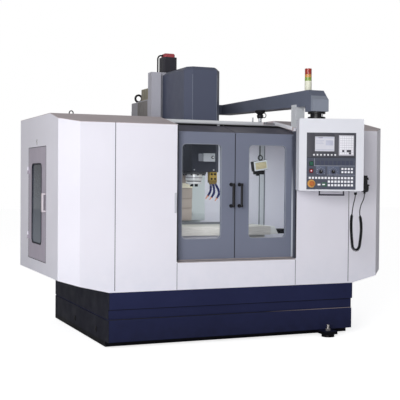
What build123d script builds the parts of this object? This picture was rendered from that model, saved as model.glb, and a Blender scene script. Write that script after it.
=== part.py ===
from build123d import *
import os

# Vertical drilling and machining centre, in millimetres. While it is built, x runs to the right,
# y runs back from the front sheet and z runs up from the floor.

# Base casting
base_side_inset = 354
base_rear_reach = 163
base_height = 425
base_wall = 40
upper_band_bottom = 297
middle_band_bottom = 222
lower_band_bottom = 51
middle_band_recess = 20
lower_band_recess = 10
toe_recess = 95
toe_gap = 8
side_groove_height = 10
side_groove_depth = 6

# Levelling feet
foot_side_inset = 255
foot_front_y = -45
foot_pad_radius = 52
foot_pad_height = 18
foot_clear = 8
foot_stud_radius = 12
foot_stud_top = 98
foot_nut_across = 36
foot_nut_height = 18
lug_width = 120
lug_reach = 50
lug_bottom = 22
lug_top = 48

# Sheet enclosure
sheet = 3
corner_width = 129
side_half = 1404
corner_depth = 141
enclosure_depth = 1480
front_top = 1688
roof_top = 1769
bevel_to_rail = 199
front_under = 478
side_under = 512
front_seam_half = 1007
opening_half = 512
jamb_depth = 55
roof_lip = 32
head_slot_half = 300
column_gap = 5

# Sliding doors, their track and their rail
door_front = 65
door_thick = 25
door_skin = 3
door_rim = 40
door_drop = 36
door_fold_drop = 62
door_overlap = 48
door_meet_gap = 8
door_travel = 450
slide_gap = 0.2
seat_gap = 0.1
sill_bottom = 632
sill_top = 640
track_top = 650
track_bottom = 600
track_thick = 12
track_inset = 5
rail_setback = 90
rail_thick = 32
rail_shelf = 40
rail_shelf_thick = 16
window_width = 334
window_bottom = 806
window_top = 1547
window_radius = 35
window_centre = 286
glass_thick = 6
glass_lap = 12
pull_height = 186
pull_middle = 1148
pull_offset = 36
pull_radius = 9
pull_reach = 50

# Side door
leaf_front = 525
leaf_rear = 1145
leaf_bottom = 612
leaf_top = 1519
leaf_thick = 20
leaf_gap = 2
leaf_window_front = 675
leaf_window_rear = 1016
leaf_window_bottom = 742
leaf_window_top = 1388
leaf_window_radius = 40
hinge_radius = 6.5
hinge_offset = 7
hinge_length = 60
hinge_flap = 42
hinge_inset_share = 0.17
leaf_pull_y = 545
leaf_pull_bottom = 1007
leaf_pull_top = 1153
leaf_pull_reach = 30
leaf_pull_thick = 12
leaf_pull_width = 22

# Bed, saddle and table
bed_half = 330
bed_depth = 1040
bed_to_column = 10
bed_way_width = 120
bed_core_top = 640
bed_top = 700
fit_gap = 0.05
throat = 374
saddle_half = 400
saddle_depth = 400
saddle_core_top = 745
saddle_lip = 40
saddle_top = 790
cross_way_depth = 90
table_half = 640
table_depth = 450
table_top = 865
table_key_depth = 40
slot_count = 5
slot_pitch = 80
slot_width = 18
slot_neck = 15
slot_foot_width = 32
slot_foot = 14

# Column
column_half = 280
column_tower_half = 190
column_depth = 310
column_leg_depth = 210
column_rear_margin = 3
column_tower_step = 55
column_wing_depth = 80
column_wing_lap = 15
column_wing_drop = 10
column_wing_bottom = 1680
column_overhang_bottom = 950
column_shoulder_drop = 250
column_top = 2240
z_way_inner = 100
z_way_outer = 170
z_way_height = 40
z_way_margin = 20

# Head, spindle and coolant nozzles
head_half = 165
head_front_reach = 226
head_rear_gap = 12
head_corner_x = 53
head_corner_y = 68
head_bottom = 1335
head_core_top = 1720
cover_bottom = 1680
cover_top_drop = 10
cover_top_chamfer = 28
slide_half = 185
slide_depth = 60
slide_tongue_gap = 5
nose_radius = 73.5
nose_bottom = 1252
nose_chamfer = 14
spindle_radius = 44
spindle_bottom = 1232
spindle_shaft_radius = 38
spindle_shaft_top = 1330
taper_radius = 22.2
taper_depth = 60
taper_tip_radius = 13
drive_key_width = 16
drive_key_length = 14
drive_key_height = 9
nozzle_block_half = 34
nozzle_block_depth = 46
nozzle_block_height = 92
nozzle_block_x = 124
nozzle_block_reach = 116
nozzle_pitch = 26
nozzle_radius = 9
nozzle_tip_length = 34
nozzle_drop = 128
nozzle_knee_share = 0.33
nozzle_bend_share = 0.25
nozzle_tip_slope = 8
nozzle_lean = 40

# Vertical axis motor and its lead
motor_x = -50
motor_setback = 117
motor_half = 72
motor_flange = 14
motor_neck = 6
motor_height = 150
motor_corner = 13
cap_half = 50
cap_height = 36
cap_chamfer_share = 0.25
lead_radius = 7
lead_bend = 34
lead_end_x = -150

# Boxes on the column
side_box_inner = 195
side_box_depth = 180
side_box_drop = 148
cabinet_depth = 166
cabinet_bottom = 520
cabinet_top = 1985
cabinet_wall = 20
cabinet_door_inset = 15
cabinet_door_thick = 18
cabinet_hinge_radius = 6
eye_ring_radius = 32
eye_wire_radius = 9
eye_shank_height = 16
eye_collar_share = 1.6
eye_chamfer_share = 0.5
roof_eye_ring_radius = 16
roof_eye_wire_radius = 4
roof_eye_shank_height = 12
roof_eye_side_margin = 238
roof_eye_front_y = 677
roof_eye_rear_margin = 180

# Arm of the control box
arm_left = 526
arm_right = 668
arm_end = -230
arm_block_rear = -105
arm_block_bottom = 1812
arm_top = 1983
arm_under_front = 1858
arm_under_rear = 1896
arm_nose_drop = 79
arm_nose_back = 80
arm_root_depth = 120
arm_root_margin = 20
arm_flange = 18
arm_flange_margin = 30
post_front = 34
post_depth = 73
post_width = 74
post_cheek = 8
post_cheek_top = 1880

# Signal tower
tower_x = 595
tower_y = -30
tower_radius = 28
tower_base_height = 84
tower_green_height = 28
tower_amber_height = 24
tower_red_height = 47

# Work lamp and its hanger on the rail
lamp_x = 484
hanger_radius = 46
hanger_waist_radius = 20
hanger_height = 104
hanger_foot_height = 26
hanger_loop_radius = 22
hanger_loop_bore = 14
hanger_loop_thick = 9
lamp_rod_radius = 6
lamp_ring_radius = 20
lamp_ring_thick = 9
lamp_ring_z = 1460
lamp_half = 80
lamp_depth = 70
lamp_bottom = 1306
lamp_top = 1434
lamp_wall = 8
lamp_glass_thick = 5
lamp_fin_count = 6
lamp_fin_depth = 14
lamp_fin_thick = 5

# Control box, in its own frame: origin on the swivel axis, front towards negative y
swivel_x = 603
swivel_y = -155
swivel_radius = 69
swivel_flange = 16
swivel_waist_radius = 50
box_turn = -20
box_left = -148
box_width = 512
box_depth = 150
box_bottom = 1188
box_top = 1755
box_round = 10
panel_left_margin = 60
panel_width = 390
panel_height = 446
panel_bottom_margin = 11
panel_thick = 6
screen_left = 65
screen_width = 153
screen_down = 31
screen_height = 115
screen_thick = 3
key_height = 4
soft_key_count = 7
soft_key_left = 51
soft_key_pitch = 28
soft_key_width = 12
soft_key_depth = 12
soft_key_down = 168
letter_left = 263
letter_columns = 6
letter_rows = 8
letter_pitch = 18
letter_size = 14
letter_down = 28
strip_left = 78
strip_count = 9
strip_pitch = 33
strip_width = 24
strip_depth = 34
strip_down = 220
pad_left = 276
pad_columns = 4
pad_rows = 2
pad_pitch = 25
pad_size = 15
pad_down = 276
jog_left = 18
jog_count = 6
jog_pitch = 25
jog_size = 16
jog_down = 347
hand_key_left = 169
hand_key_columns = 8
hand_key_rows = 3
hand_key_pitch_x = 26
hand_key_pitch_z = 28
hand_key_size = 17
hand_key_down = 347
button_x = 36
start_down = 243
stop_down = 300
button_radius = 13
button_reach = 12
button_travel = 3
dial_left_x = 113
dial_right_x = 211
dial_down = 306
dial_radius = 21
dial_reach = 20
dial_skirt_radius = 27
dial_skirt = 4
grip_width = 11
pin_radius = 5
stop_switch_x = 39
stop_switch_down = 400
stop_disc_radius = 31
stop_disc_thick = 3
stop_head_radius = 20
stop_head_reach = 30
stop_stem_radius = 11
stop_head_thick = 15
stop_chamfer = 5
bar_width = 205
bar_left = 171
bar_radius = 6
bar_drop = 32

# Hand wheel unit on the right of the control box
unit_thick = 30
unit_depth = 80
unit_bottom = 1180
unit_height = 132
unit_round = 8
unit_y = 5
bracket_thick = 12
wheel_radius = 30
wheel_thick = 12
wheel_down = 98
crank_radius = 5
crank_reach = 12
crank_place = 21
knob_radius = 10
knob_reach = 12
knob_down = 26
knob_spread = 20
knob_grip = 5

# Lead of the hand wheel unit, also in the control box's frame
gland_x = 318
gland_radius = 9
gland_height = 12
cord_radius = 3
cord_arc_share = 0.45
coil_radius = 10
out_route = [(318, 0, 1176), (318, 0, 1138), (302, 0, 1085), (292, 0, 1005)]
coil_route = [(292, 0, 1005), (286, 0, 957), (286, 0, 900), (289, 0, 840), (294, 0, 790),
              (298, 0, 742), (310, 0, 722), (326, 0, 716), (342, 0, 722), (354, 0, 742),
              (360, 0, 790), (366, 0, 845), (368, 0, 897), (364, 0, 948), (356, 0, 996)]
back_route = [(356, 0, 996), (352, 0, 1020), (362, 0, 1080), (391, 0, 1130), (391, 0, 1168)]

overrun = 20

# Places worked out from the sizes above
base_half = side_half - base_side_inset
foot_x = base_half - foot_side_inset
column_shoulder = column_top - column_shoulder_drop
cover_top = column_top - cover_top_drop
side_box_top = column_top - side_box_drop
base_depth = enclosure_depth + base_rear_reach
front_half = side_half - corner_width
column_rear = base_depth - column_rear_margin
column_front = column_rear - column_depth
column_leg_front = column_rear - column_leg_depth
column_tower_rear = column_rear - column_tower_step
z_way_front = column_front - z_way_height
slide_front = z_way_front - slide_depth
head_rear = z_way_front - head_rear_gap
spindle_y = z_way_front - throat
head_front = spindle_y - head_front_reach
nozzle_block_y = spindle_y - nozzle_block_reach
bed_rear = column_leg_front - bed_to_column
bed_front = bed_rear - bed_depth
motor_y = column_front + motor_setback
side_box_front = column_front + column_wing_lap + seat_gap
side_box_rear = side_box_front + side_box_depth
cabinet_rear = column_rear + cabinet_depth
arm_root_rear = column_rear - arm_root_margin
arm_root_front = arm_root_rear - arm_root_depth
roof_eye_x = side_half - roof_eye_side_margin
roof_eye_rear_y = enclosure_depth - roof_eye_rear_margin
rail_front = head_front - rail_setback
bevel_depth = rail_front - bevel_to_rail
bevel_rise = roof_top - front_top
door_top_front = front_top + bevel_rise * door_front / bevel_depth - door_fold_drop
door_flat = roof_top - door_drop
door_bottom = track_top + slide_gap
door_rear = rail_front - slide_gap
door_half = opening_half + door_overlap
panel_top = box_bottom + panel_bottom_margin + panel_height
panel_left = box_left + panel_left_margin
box_right = box_left + box_width
unit_outer = box_right + bracket_thick + unit_thick
unit_top = unit_bottom + unit_height
wheel_z = unit_top - wheel_down
knob_z = unit_top - knob_down

nodes = {}


def roof_at(y):
    """Height of the outer roof sheet at a distance behind the front."""
    return front_top + bevel_rise * min(y, bevel_depth) / bevel_depth


def block(x0, x1, y0, y1, z0, z1):
    """Box between two corners."""
    middle = Pos((x0 + x1) / 2, (y0 + y1) / 2, (z0 + z1) / 2)
    return middle * Box(x1 - x0, y1 - y0, z1 - z0)


def rod_z(radius, z0, z1, x, y):
    """Upright cylinder."""
    return Pos(x, y, (z0 + z1) / 2) * Cylinder(radius, z1 - z0)


def rod_y(radius, y0, y1, x, z):
    """Cylinder that runs from front to back."""
    return Pos(x, (y0 + y1) / 2, z) * Rot(90, 0, 0) * Cylinder(radius, y1 - y0)


def rod_x(radius, x0, x1, y, z):
    """Cylinder that runs from left to right."""
    return Pos((x0 + x1) / 2, y, z) * Rot(0, 90, 0) * Cylinder(radius, x1 - x0)


def prism_x(points, x0, x1):
    """Outline in y and z, carried along x."""
    plane = Plane(origin=(x0, 0, 0), x_dir=(0, 1, 0), z_dir=(1, 0, 0))
    return extrude(plane * make_face(Polyline(points, close=True)), x1 - x0)


def prism_y(points, y0, y1):
    """Outline in x and z, carried along y."""
    plane = Plane(origin=(0, y1, 0), x_dir=(1, 0, 0), z_dir=(0, -1, 0))
    return extrude(plane * make_face(Polyline(points, close=True)), y1 - y0)


def prism_z(points, z0, z1):
    """Outline in x and y, carried upwards."""
    return extrude(Pos(0, 0, z0) * make_face(Polyline(points, close=True)), z1 - z0)


def rounded_y(x0, x1, z0, z1, radius, y0, y1):
    """Plate with rounded corners that faces front."""
    plane = Plane(origin=((x0 + x1) / 2, y1, (z0 + z1) / 2), x_dir=(1, 0, 0), z_dir=(0, -1, 0))
    return extrude(plane * RectangleRounded(x1 - x0, z1 - z0, radius), y1 - y0)


def rounded_x(y0, y1, z0, z1, radius, x0, x1):
    """Plate with rounded corners that faces sideways."""
    plane = Plane(origin=(x0, (y0 + y1) / 2, (z0 + z1) / 2), x_dir=(0, 1, 0), z_dir=(1, 0, 0))
    return extrude(plane * RectangleRounded(y1 - y0, z1 - z0, radius), x1 - x0)


def turned(points, x, y):
    """Outline in radius and height, turned about an upright axis."""
    plane = Plane(origin=(0, 0, 0), x_dir=(1, 0, 0), z_dir=(0, -1, 0))
    return Pos(x, y, 0) * revolve(plane * make_face(Polyline(points, close=True)), Axis.Z)


def both_sides(shape):
    """The shape and its mirror image across the middle of the machine."""
    return Compound(children=[shape, mirror(shape, about=Plane.YZ)])


# Base casting: stepped front, set-back toe, open underneath
def make_base():
    front = [
        (0, base_height),
        (0, upper_band_bottom),
        (middle_band_recess, upper_band_bottom),
        (middle_band_recess, middle_band_bottom),
        (lower_band_recess, middle_band_bottom),
        (lower_band_recess, lower_band_bottom),
        (toe_recess, lower_band_bottom),
        (toe_recess, toe_gap),
        (base_depth, toe_gap),
        (base_depth, base_height),
    ]
    body = prism_x(front, -base_half, base_half)
    body -= block(
        base_wall - base_half,
        base_half - base_wall,
        toe_recess + base_wall,
        base_depth - base_wall,
        -overrun,
        base_height - base_wall,
    )
    for side in (-1, 1):
        edge = side * base_half
        body -= block(
            edge - side_groove_depth,
            edge + side_groove_depth,
            -overrun,
            base_depth + overrun,
            middle_band_bottom - side_groove_height,
            middle_band_bottom,
        )
    for x, y, wall in foot_places():
        side = lug_width / 2
        end = y + lug_reach if y > wall else y - lug_reach
        body += block(x - side, x + side, min(end, wall), max(end, wall), lug_bottom, lug_top)
        body -= rod_z(foot_stud_radius + fit_gap, lug_bottom - overrun, foot_stud_top, x, y)
    return body


def foot_places():
    """Where the feet stand, and the face of the base that carries each lug."""
    clear = foot_pad_radius + foot_clear
    rear_y = base_depth + clear
    inside_y = toe_recess + base_wall + clear
    return [
        (foot_x, foot_front_y, toe_recess),
        (-foot_x, inside_y, toe_recess),
        (foot_x, rear_y, base_depth),
        (-foot_x, rear_y, base_depth),
    ]


def make_feet():
    feet = []
    for x, y, wall in foot_places():
        pad = rod_z(foot_pad_radius, 0, foot_pad_height, x, y)
        stud = rod_z(foot_stud_radius, foot_pad_height, foot_stud_top, x, y)
        nut_plane = Pos(x, y, lug_top) * RegularPolygon(foot_nut_across / 2, 6, major_radius=False)
        feet.append(pad + stud + extrude(nut_plane, foot_nut_height))
    return Compound(children=feet)


nodes["base"] = make_base()
nodes["levelling_feet"] = make_feet()


# Sheet enclosure: one folded outline, cut into its panels
def enclosure_plan(inset):
    """Plan of the enclosure, moved inwards by a sheet's thickness."""
    cut = inset * (2 ** 0.5 - 1)
    return [
        (-front_half + cut, inset),
        (front_half - cut, inset),
        (side_half - inset, corner_depth + cut),
        (side_half - inset, enclosure_depth - inset),
        (inset - side_half, enclosure_depth - inset),
        (inset - side_half, corner_depth + cut),
    ]


def roof_outline(drop, bottom):
    """Side view of the enclosure under its roof, lowered by a drop."""
    return [
        (-overrun, bottom),
        (enclosure_depth + overrun, bottom),
        (enclosure_depth + overrun, roof_top - drop),
        (bevel_depth, roof_top - drop),
        (0, front_top - drop),
        (-overrun, front_top - drop),
    ]


def underside(lift, reach):
    """Sloped lower edge of the enclosure, from the base out to the sides."""
    return [
        (-reach, side_under + lift),
        (-side_half, side_under + lift),
        (-front_half, front_under + lift),
        (-base_half, base_height + lift),
        (base_half, base_height + lift),
        (front_half, front_under + lift),
        (side_half, side_under + lift),
        (reach, side_under + lift),
    ]


far = side_half + overrun
hull = prism_z(enclosure_plan(0), 0, roof_top) & prism_x(roof_outline(0, 0), -far, far)
below_line = underside(0, far) + [(far, 0), (-far, 0)]
hull -= prism_y(below_line, -overrun, enclosure_depth + overrun)
under_roof = prism_x(roof_outline(sheet, 0), -far, far)
under_seam = prism_x(roof_outline(sheet + seat_gap, 0), -far, far)
roof_skin = hull - under_roof
walls = (hull & under_seam) - prism_z(enclosure_plan(sheet), 0, roof_top)


def make_front_panel():
    """Right front panel with its jamb; the left one is its mirror image."""
    flat = walls & block(opening_half, front_seam_half - seat_gap, 0, sheet, 0, roof_top)
    jamb = [
        (sheet, sill_top),
        (jamb_depth, sill_top),
        (jamb_depth, roof_at(jamb_depth) - sheet - seat_gap),
        (sheet, roof_at(sheet) - sheet - seat_gap),
    ]
    return flat + prism_x(jamb, opening_half, opening_half + sheet)


def make_corner_panel():
    """Right corner panel: outer front, slanted corner."""
    return walls & block(front_seam_half, side_half + overrun, 0, corner_depth - seat_gap, 0, roof_top)


def make_roof():
    """Right half of the roof: bevel, flat and the folded lip of the opening."""
    half = roof_skin & block(0, side_half + overrun, 0, enclosure_depth, 0, roof_top)
    half -= block(0, opening_half, -overrun, rail_front, 0, roof_top + overrun)
    half -= block(0, head_slot_half, 0, enclosure_depth + overrun, 0, roof_top + overrun)
    lip = [
        (jamb_depth, roof_at(jamb_depth) - roof_lip),
        (bevel_depth, roof_top - roof_lip),
        (rail_front, roof_top - roof_lip),
        (rail_front, roof_top - sheet),
        (bevel_depth, roof_top - sheet),
        (jamb_depth, roof_at(jamb_depth) - sheet),
    ]
    return half + prism_x(lip, opening_half, opening_half + sheet)


def make_side_panel():
    """Right side panel."""
    rear = enclosure_depth - sheet - seat_gap
    return walls & block(side_half - sheet, side_half + overrun, corner_depth, rear, 0, roof_top)


def make_rear_panel():
    """Right rear panel, beside the column."""
    rear = enclosure_depth - sheet
    column_side = column_half + column_gap
    return walls & block(column_side, side_half + overrun, rear, enclosure_depth, 0, roof_top)


def hinge_places():
    """Heights of the lower ends of the side door's hinges."""
    inset = (leaf_top - leaf_bottom) * hinge_inset_share
    return [leaf_bottom + inset, leaf_top - inset - hinge_length]


def hinge_half(z0, z1, flap_start, flap_end):
    """Flap and knuckle of one half of a side door hinge."""
    axis_x = -side_half - hinge_offset
    knuckle = rod_z(hinge_radius, z0, z1, axis_x, leaf_rear)
    inside = hinge_offset - hinge_radius
    flap = block(-side_half - hinge_offset, -side_half, flap_start, flap_end, z0, z1)
    tab = block(axis_x, axis_x + inside, min(flap_start, leaf_rear), max(flap_end, leaf_rear), z0, z1)
    return knuckle + tab + flap


left_side = mirror(make_side_panel(), about=Plane.YZ)
left_side -= block(
    -side_half - overrun, overrun - side_half, leaf_front, leaf_rear, leaf_bottom, leaf_top
)
for low in hinge_places():
    middle = low + hinge_length / 2
    start = leaf_rear + hinge_radius + leaf_gap
    left_side += hinge_half(middle + slide_gap, low + hinge_length, start, leaf_rear + hinge_flap)

front_panel = make_front_panel()
apron_end = opening_half - seat_gap
apron = walls & block(-apron_end, apron_end, 0, sheet, 0, sill_bottom)
nodes["front_panels"] = Compound(children=[front_panel, mirror(front_panel, about=Plane.YZ), apron])
nodes["corner_panels"] = both_sides(make_corner_panel())
nodes["roof_panels"] = both_sides(make_roof())
nodes["rear_panels"] = both_sides(make_rear_panel())
nodes["side_panels"] = Compound(children=[make_side_panel(), left_side])


def make_tray():
    """Chip floor that follows the sloped underside, open around the bed and column."""
    inset = sheet + seat_gap
    upper = list(reversed(underside(sheet, far)))
    tray = prism_y(underside(seat_gap, far) + upper, inset, enclosure_depth - inset)
    tray &= prism_z(enclosure_plan(inset), 0, roof_top)
    bed_side = bed_half + seat_gap
    tray -= block(-bed_side, bed_side, bed_front - seat_gap, column_leg_front, 0, roof_top)
    column_side = column_half + seat_gap
    tray -= block(-column_side, column_side, column_leg_front - seat_gap, enclosure_depth, 0, roof_top)
    return tray


nodes["tray"] = make_tray()


# Sill, lower track and upper rail of the sliding doors
track_half = door_half + door_travel + track_inset
track_front = door_front + (door_thick - track_thick) / 2
sill = block(-opening_half, opening_half, 0, track_front, sill_bottom, sill_top)
sill += block(-track_half, track_half, track_front, track_front + track_thick, track_bottom, track_top)
nodes["sill"] = sill

shelf_top = door_flat - door_thick - slide_gap
shelf_bottom = shelf_top - rail_shelf_thick
rail = block(-track_half, track_half, rail_front, rail_front + rail_thick, shelf_bottom, roof_top - sheet)
rail += block(-track_half, track_half, rail_front - rail_shelf, rail_front, shelf_bottom, shelf_top)
nodes["top_rail"] = rail


# Sliding doors: an upright leaf that bends back twice at the top to close the roof opening
def door_section(inset):
    """Side view of a door, moved inwards from its outer skin."""
    lean = (door_flat - door_top_front) / (bevel_depth - door_front)
    top = door_flat - inset
    bevel_end = bevel_depth + inset * lean / 2
    front_high = door_top_front + inset * lean
    return front_high, bevel_end, top


def door_profile(outer, inner, rear, bottom):
    """Closed side view of the bent leaf between two depths of its wall."""
    high_out, end_out, top_out = door_section(outer)
    high_in, end_in, top_in = door_section(inner)
    return [
        (door_front + outer, bottom),
        (door_front + outer, high_out - outer),
        (end_out, top_out),
        (rear, top_out),
        (rear, top_in),
        (end_in, top_in),
        (door_front + inner, high_in - inner),
        (door_front + inner, bottom),
    ]


def make_door():
    """Right sliding door, as a pan with a rim; the left one is its mirror image."""
    meet = door_meet_gap / 2
    door = prism_x(door_profile(0, door_thick, door_rear, door_bottom), meet, door_half)
    hollow = door_profile(door_skin, door_thick + overrun, door_rear - door_rim, door_bottom + door_rim)
    hollow_x = (meet + door_rim, door_half - door_rim)
    pan = prism_x(hollow, hollow_x[0], hollow_x[1])
    left = window_centre - window_width / 2
    right = window_centre + window_width / 2
    ring = rounded_y(
        left - door_rim / 2,
        right + door_rim / 2,
        window_bottom - door_rim / 2,
        window_top + door_rim / 2,
        window_radius + door_rim / 2,
        door_front,
        door_front + door_thick,
    )
    hole = rounded_y(left, right, window_bottom, window_top, window_radius, 0, bevel_depth)
    seat = rounded_y(
        left - glass_lap,
        right + glass_lap,
        window_bottom - glass_lap,
        window_top + glass_lap,
        window_radius + glass_lap,
        door_front + door_skin,
        door_front + door_skin + glass_thick,
    )
    return door - (pan - ring) - hole - seat, seat


def make_pull(x):
    """Black bar pull with two feet."""
    low = pull_middle - pull_height / 2 + pull_radius
    high = pull_middle + pull_height / 2 - pull_radius
    bar_y = door_front - pull_reach
    pull = rod_z(pull_radius, low - pull_radius, high + pull_radius, x, bar_y)
    for z in (low, high):
        pull += rod_y(pull_radius, bar_y, door_front, x, z)
    return pull


right_door, right_glass = make_door()
nodes["right_door"] = right_door
nodes["right_window"] = right_glass
nodes["right_handle"] = make_pull(pull_offset)
nodes["left_door"] = mirror(right_door, about=Plane.YZ)
nodes["left_window"] = mirror(right_glass, about=Plane.YZ)
nodes["left_handle"] = make_pull(-pull_offset)


# Side door: leaf, window, pull, hinge halves
leaf_outer = -side_half
leaf_inner = leaf_thick - side_half
leaf_y0 = leaf_front + leaf_gap
leaf_y1 = leaf_rear - leaf_gap
leaf_z0 = leaf_bottom + leaf_gap
leaf_z1 = leaf_top - leaf_gap
leaf = block(leaf_outer, leaf_inner, leaf_y0, leaf_y1, leaf_z0, leaf_z1)
leaf -= block(
    leaf_outer + sheet,
    leaf_inner + overrun,
    leaf_y0 + door_rim,
    leaf_y1 - door_rim,
    leaf_z0 + door_rim,
    leaf_z1 - door_rim,
)
leaf -= rounded_x(
    leaf_window_front,
    leaf_window_rear,
    leaf_window_bottom,
    leaf_window_top,
    leaf_window_radius,
    leaf_outer - overrun,
    leaf_inner,
)
for low in hinge_places():
    leaf += hinge_half(low, low + hinge_length / 2, leaf_rear - hinge_flap, leaf_rear - leaf_gap)
nodes["side_door"] = leaf
nodes["side_window"] = rounded_x(
    leaf_window_front - glass_lap,
    leaf_window_rear + glass_lap,
    leaf_window_bottom - glass_lap,
    leaf_window_top + glass_lap,
    leaf_window_radius + glass_lap,
    leaf_outer + sheet,
    leaf_outer + sheet + glass_thick,
)
pull_outer = leaf_outer - leaf_pull_reach
pull_y0 = leaf_pull_y - leaf_pull_width / 2
pull_y1 = leaf_pull_y + leaf_pull_width / 2
pull_inner = pull_outer + leaf_pull_thick
leaf_pull = block(pull_outer, pull_inner, pull_y0, pull_y1, leaf_pull_bottom, leaf_pull_top)
for foot in (leaf_pull_bottom, leaf_pull_top - leaf_pull_thick):
    leaf_pull += block(pull_outer, leaf_outer, pull_y0, pull_y1, foot, foot + leaf_pull_thick)
nodes["side_handle"] = leaf_pull


# Bed with two flat ways, cross saddle, slotted table
bed = block(-bed_half, bed_half, bed_front, bed_rear, base_height, bed_core_top)
for side in (-1, 1):
    inner = side * (bed_half - bed_way_width)
    outer = side * bed_half
    bed += block(min(inner, outer), max(inner, outer), bed_front, bed_rear, bed_core_top, bed_top)
nodes["bed"] = bed

saddle_front = spindle_y - saddle_depth / 2
saddle_rear = spindle_y + saddle_depth / 2
saddle = block(-saddle_half, saddle_half, saddle_front, saddle_rear, bed_top + fit_gap, saddle_core_top)
lip_bottom = bed_top - saddle_lip
for side in (-1, 1):
    ends = sorted((side * (bed_half + fit_gap), side * saddle_half))
    saddle += block(ends[0], ends[1], saddle_front, saddle_rear, lip_bottom, saddle_core_top)
for way_front in (saddle_front, saddle_rear - cross_way_depth):
    way_rear = way_front + cross_way_depth
    saddle += block(-saddle_half, saddle_half, way_front, way_rear, saddle_core_top, saddle_top)
nodes["saddle"] = saddle

table_front = spindle_y - table_depth / 2
table_rear = table_front + table_depth
table = block(-table_half, table_half, table_front, table_rear, saddle_top + fit_gap, table_top)
table += block(
    -table_half,
    table_half,
    saddle_front + cross_way_depth + fit_gap,
    saddle_rear - cross_way_depth - fit_gap,
    saddle_top - table_key_depth,
    saddle_top + fit_gap,
)
for index in range(slot_count):
    slot_y = spindle_y + (index - (slot_count - 1) / 2) * slot_pitch
    neck = block(
        -table_half,
        table_half,
        slot_y - slot_width / 2,
        slot_y + slot_width / 2,
        table_top - slot_neck,
        table_top + overrun,
    )
    foot = block(
        -table_half,
        table_half,
        slot_y - slot_foot_width / 2,
        slot_y + slot_foot_width / 2,
        table_top - slot_neck - slot_foot,
        table_top - slot_neck,
    )
    table -= neck + foot
nodes["table"] = table


# Column with its two upright ways and the cover wings beside the head
column = block(-column_half, column_half, column_leg_front, column_rear, base_height, column_shoulder)
column += block(
    -column_half, column_half, column_front, column_leg_front, column_overhang_bottom, column_shoulder
)
column += block(
    -column_tower_half, column_tower_half, column_front, column_tower_rear, column_shoulder, column_top
)
for side in (-1, 1):
    inner = side * column_tower_half
    outer = side * column_half
    column += block(
        min(inner, outer),
        max(inner, outer),
        column_front - column_wing_depth,
        column_front + column_wing_lap,
        column_wing_bottom,
        column_top - column_wing_drop,
    )
way_low = column_overhang_bottom + z_way_margin
way_high = column_top - z_way_margin
for side in (-1, 1):
    inner = side * z_way_inner
    outer = side * z_way_outer
    column += block(min(inner, outer), max(inner, outer), z_way_front, column_front, way_low, way_high)
nodes["column"] = column


# Head casting, sheet cover, spindle
def head_plan(inset):
    """Plan of the head with its slanted front corners."""
    return [
        (-head_half + inset, head_rear - inset),
        (-head_half + inset, head_front + head_corner_y),
        (-head_half + head_corner_x, head_front + inset),
        (head_half - head_corner_x, head_front + inset),
        (head_half - inset, head_front + head_corner_y),
        (head_half - inset, head_rear - inset),
    ]


def slide_plan():
    """Plan of the head behind the cover, with the tongue between the upright ways."""
    back = z_way_front - fit_gap
    tongue = z_way_inner - fit_gap
    return [
        (-slide_half, slide_front),
        (slide_half, slide_front),
        (slide_half, back),
        (tongue, back),
        (tongue, column_front - slide_tongue_gap),
        (-tongue, column_front - slide_tongue_gap),
        (-tongue, back),
        (-slide_half, back),
    ]


head = prism_z(head_plan(sheet), head_bottom, head_core_top)
head += prism_z(slide_plan(), head_bottom, cover_bottom)
nose = [
    (0, nose_bottom),
    (nose_radius - nose_chamfer, nose_bottom),
    (nose_radius, nose_bottom + nose_chamfer),
    (nose_radius, head_bottom),
    (0, head_bottom),
]
head += turned(nose, 0, spindle_y)
head -= rod_z(spindle_shaft_radius + fit_gap, nose_bottom, spindle_shaft_top + fit_gap, 0, spindle_y)
nodes["head"] = head

cover = prism_z(head_plan(0), cover_bottom, cover_top)
cover = chamfer(cover.faces().sort_by(Axis.Z)[-1].edges(), cover_top_chamfer)
cover -= prism_z(head_plan(sheet), cover_bottom, cover_top - cover_top_chamfer)
nodes["head_cover"] = cover

spindle_outline = [
    (0, spindle_bottom),
    (spindle_radius, spindle_bottom),
    (spindle_radius, nose_bottom - fit_gap),
    (spindle_shaft_radius, nose_bottom - fit_gap),
    (spindle_shaft_radius, spindle_shaft_top),
    (0, spindle_shaft_top),
]
spindle = turned(spindle_outline, 0, spindle_y)
taper = [
    (0, spindle_bottom),
    (taper_radius, spindle_bottom),
    (taper_tip_radius, spindle_bottom + taper_depth),
    (0, spindle_bottom + taper_depth),
]
spindle -= turned(taper, 0, spindle_y)
for side in (-1, 1):
    key_middle = side * (spindle_radius - drive_key_length / 2)
    spindle += block(
        key_middle - drive_key_length / 2,
        key_middle + drive_key_length / 2,
        spindle_y - drive_key_width / 2,
        spindle_y + drive_key_width / 2,
        spindle_bottom - drive_key_height,
        spindle_bottom + drive_key_height,
    )
nodes["spindle"] = spindle

block_bottom = head_bottom - nozzle_block_height
nozzles = block(
    nozzle_block_x - nozzle_block_half,
    nozzle_block_x + nozzle_block_half,
    nozzle_block_y - nozzle_block_depth / 2,
    nozzle_block_y + nozzle_block_depth / 2,
    block_bottom,
    head_bottom,
)
nodes["coolant_block"] = nozzles


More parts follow.
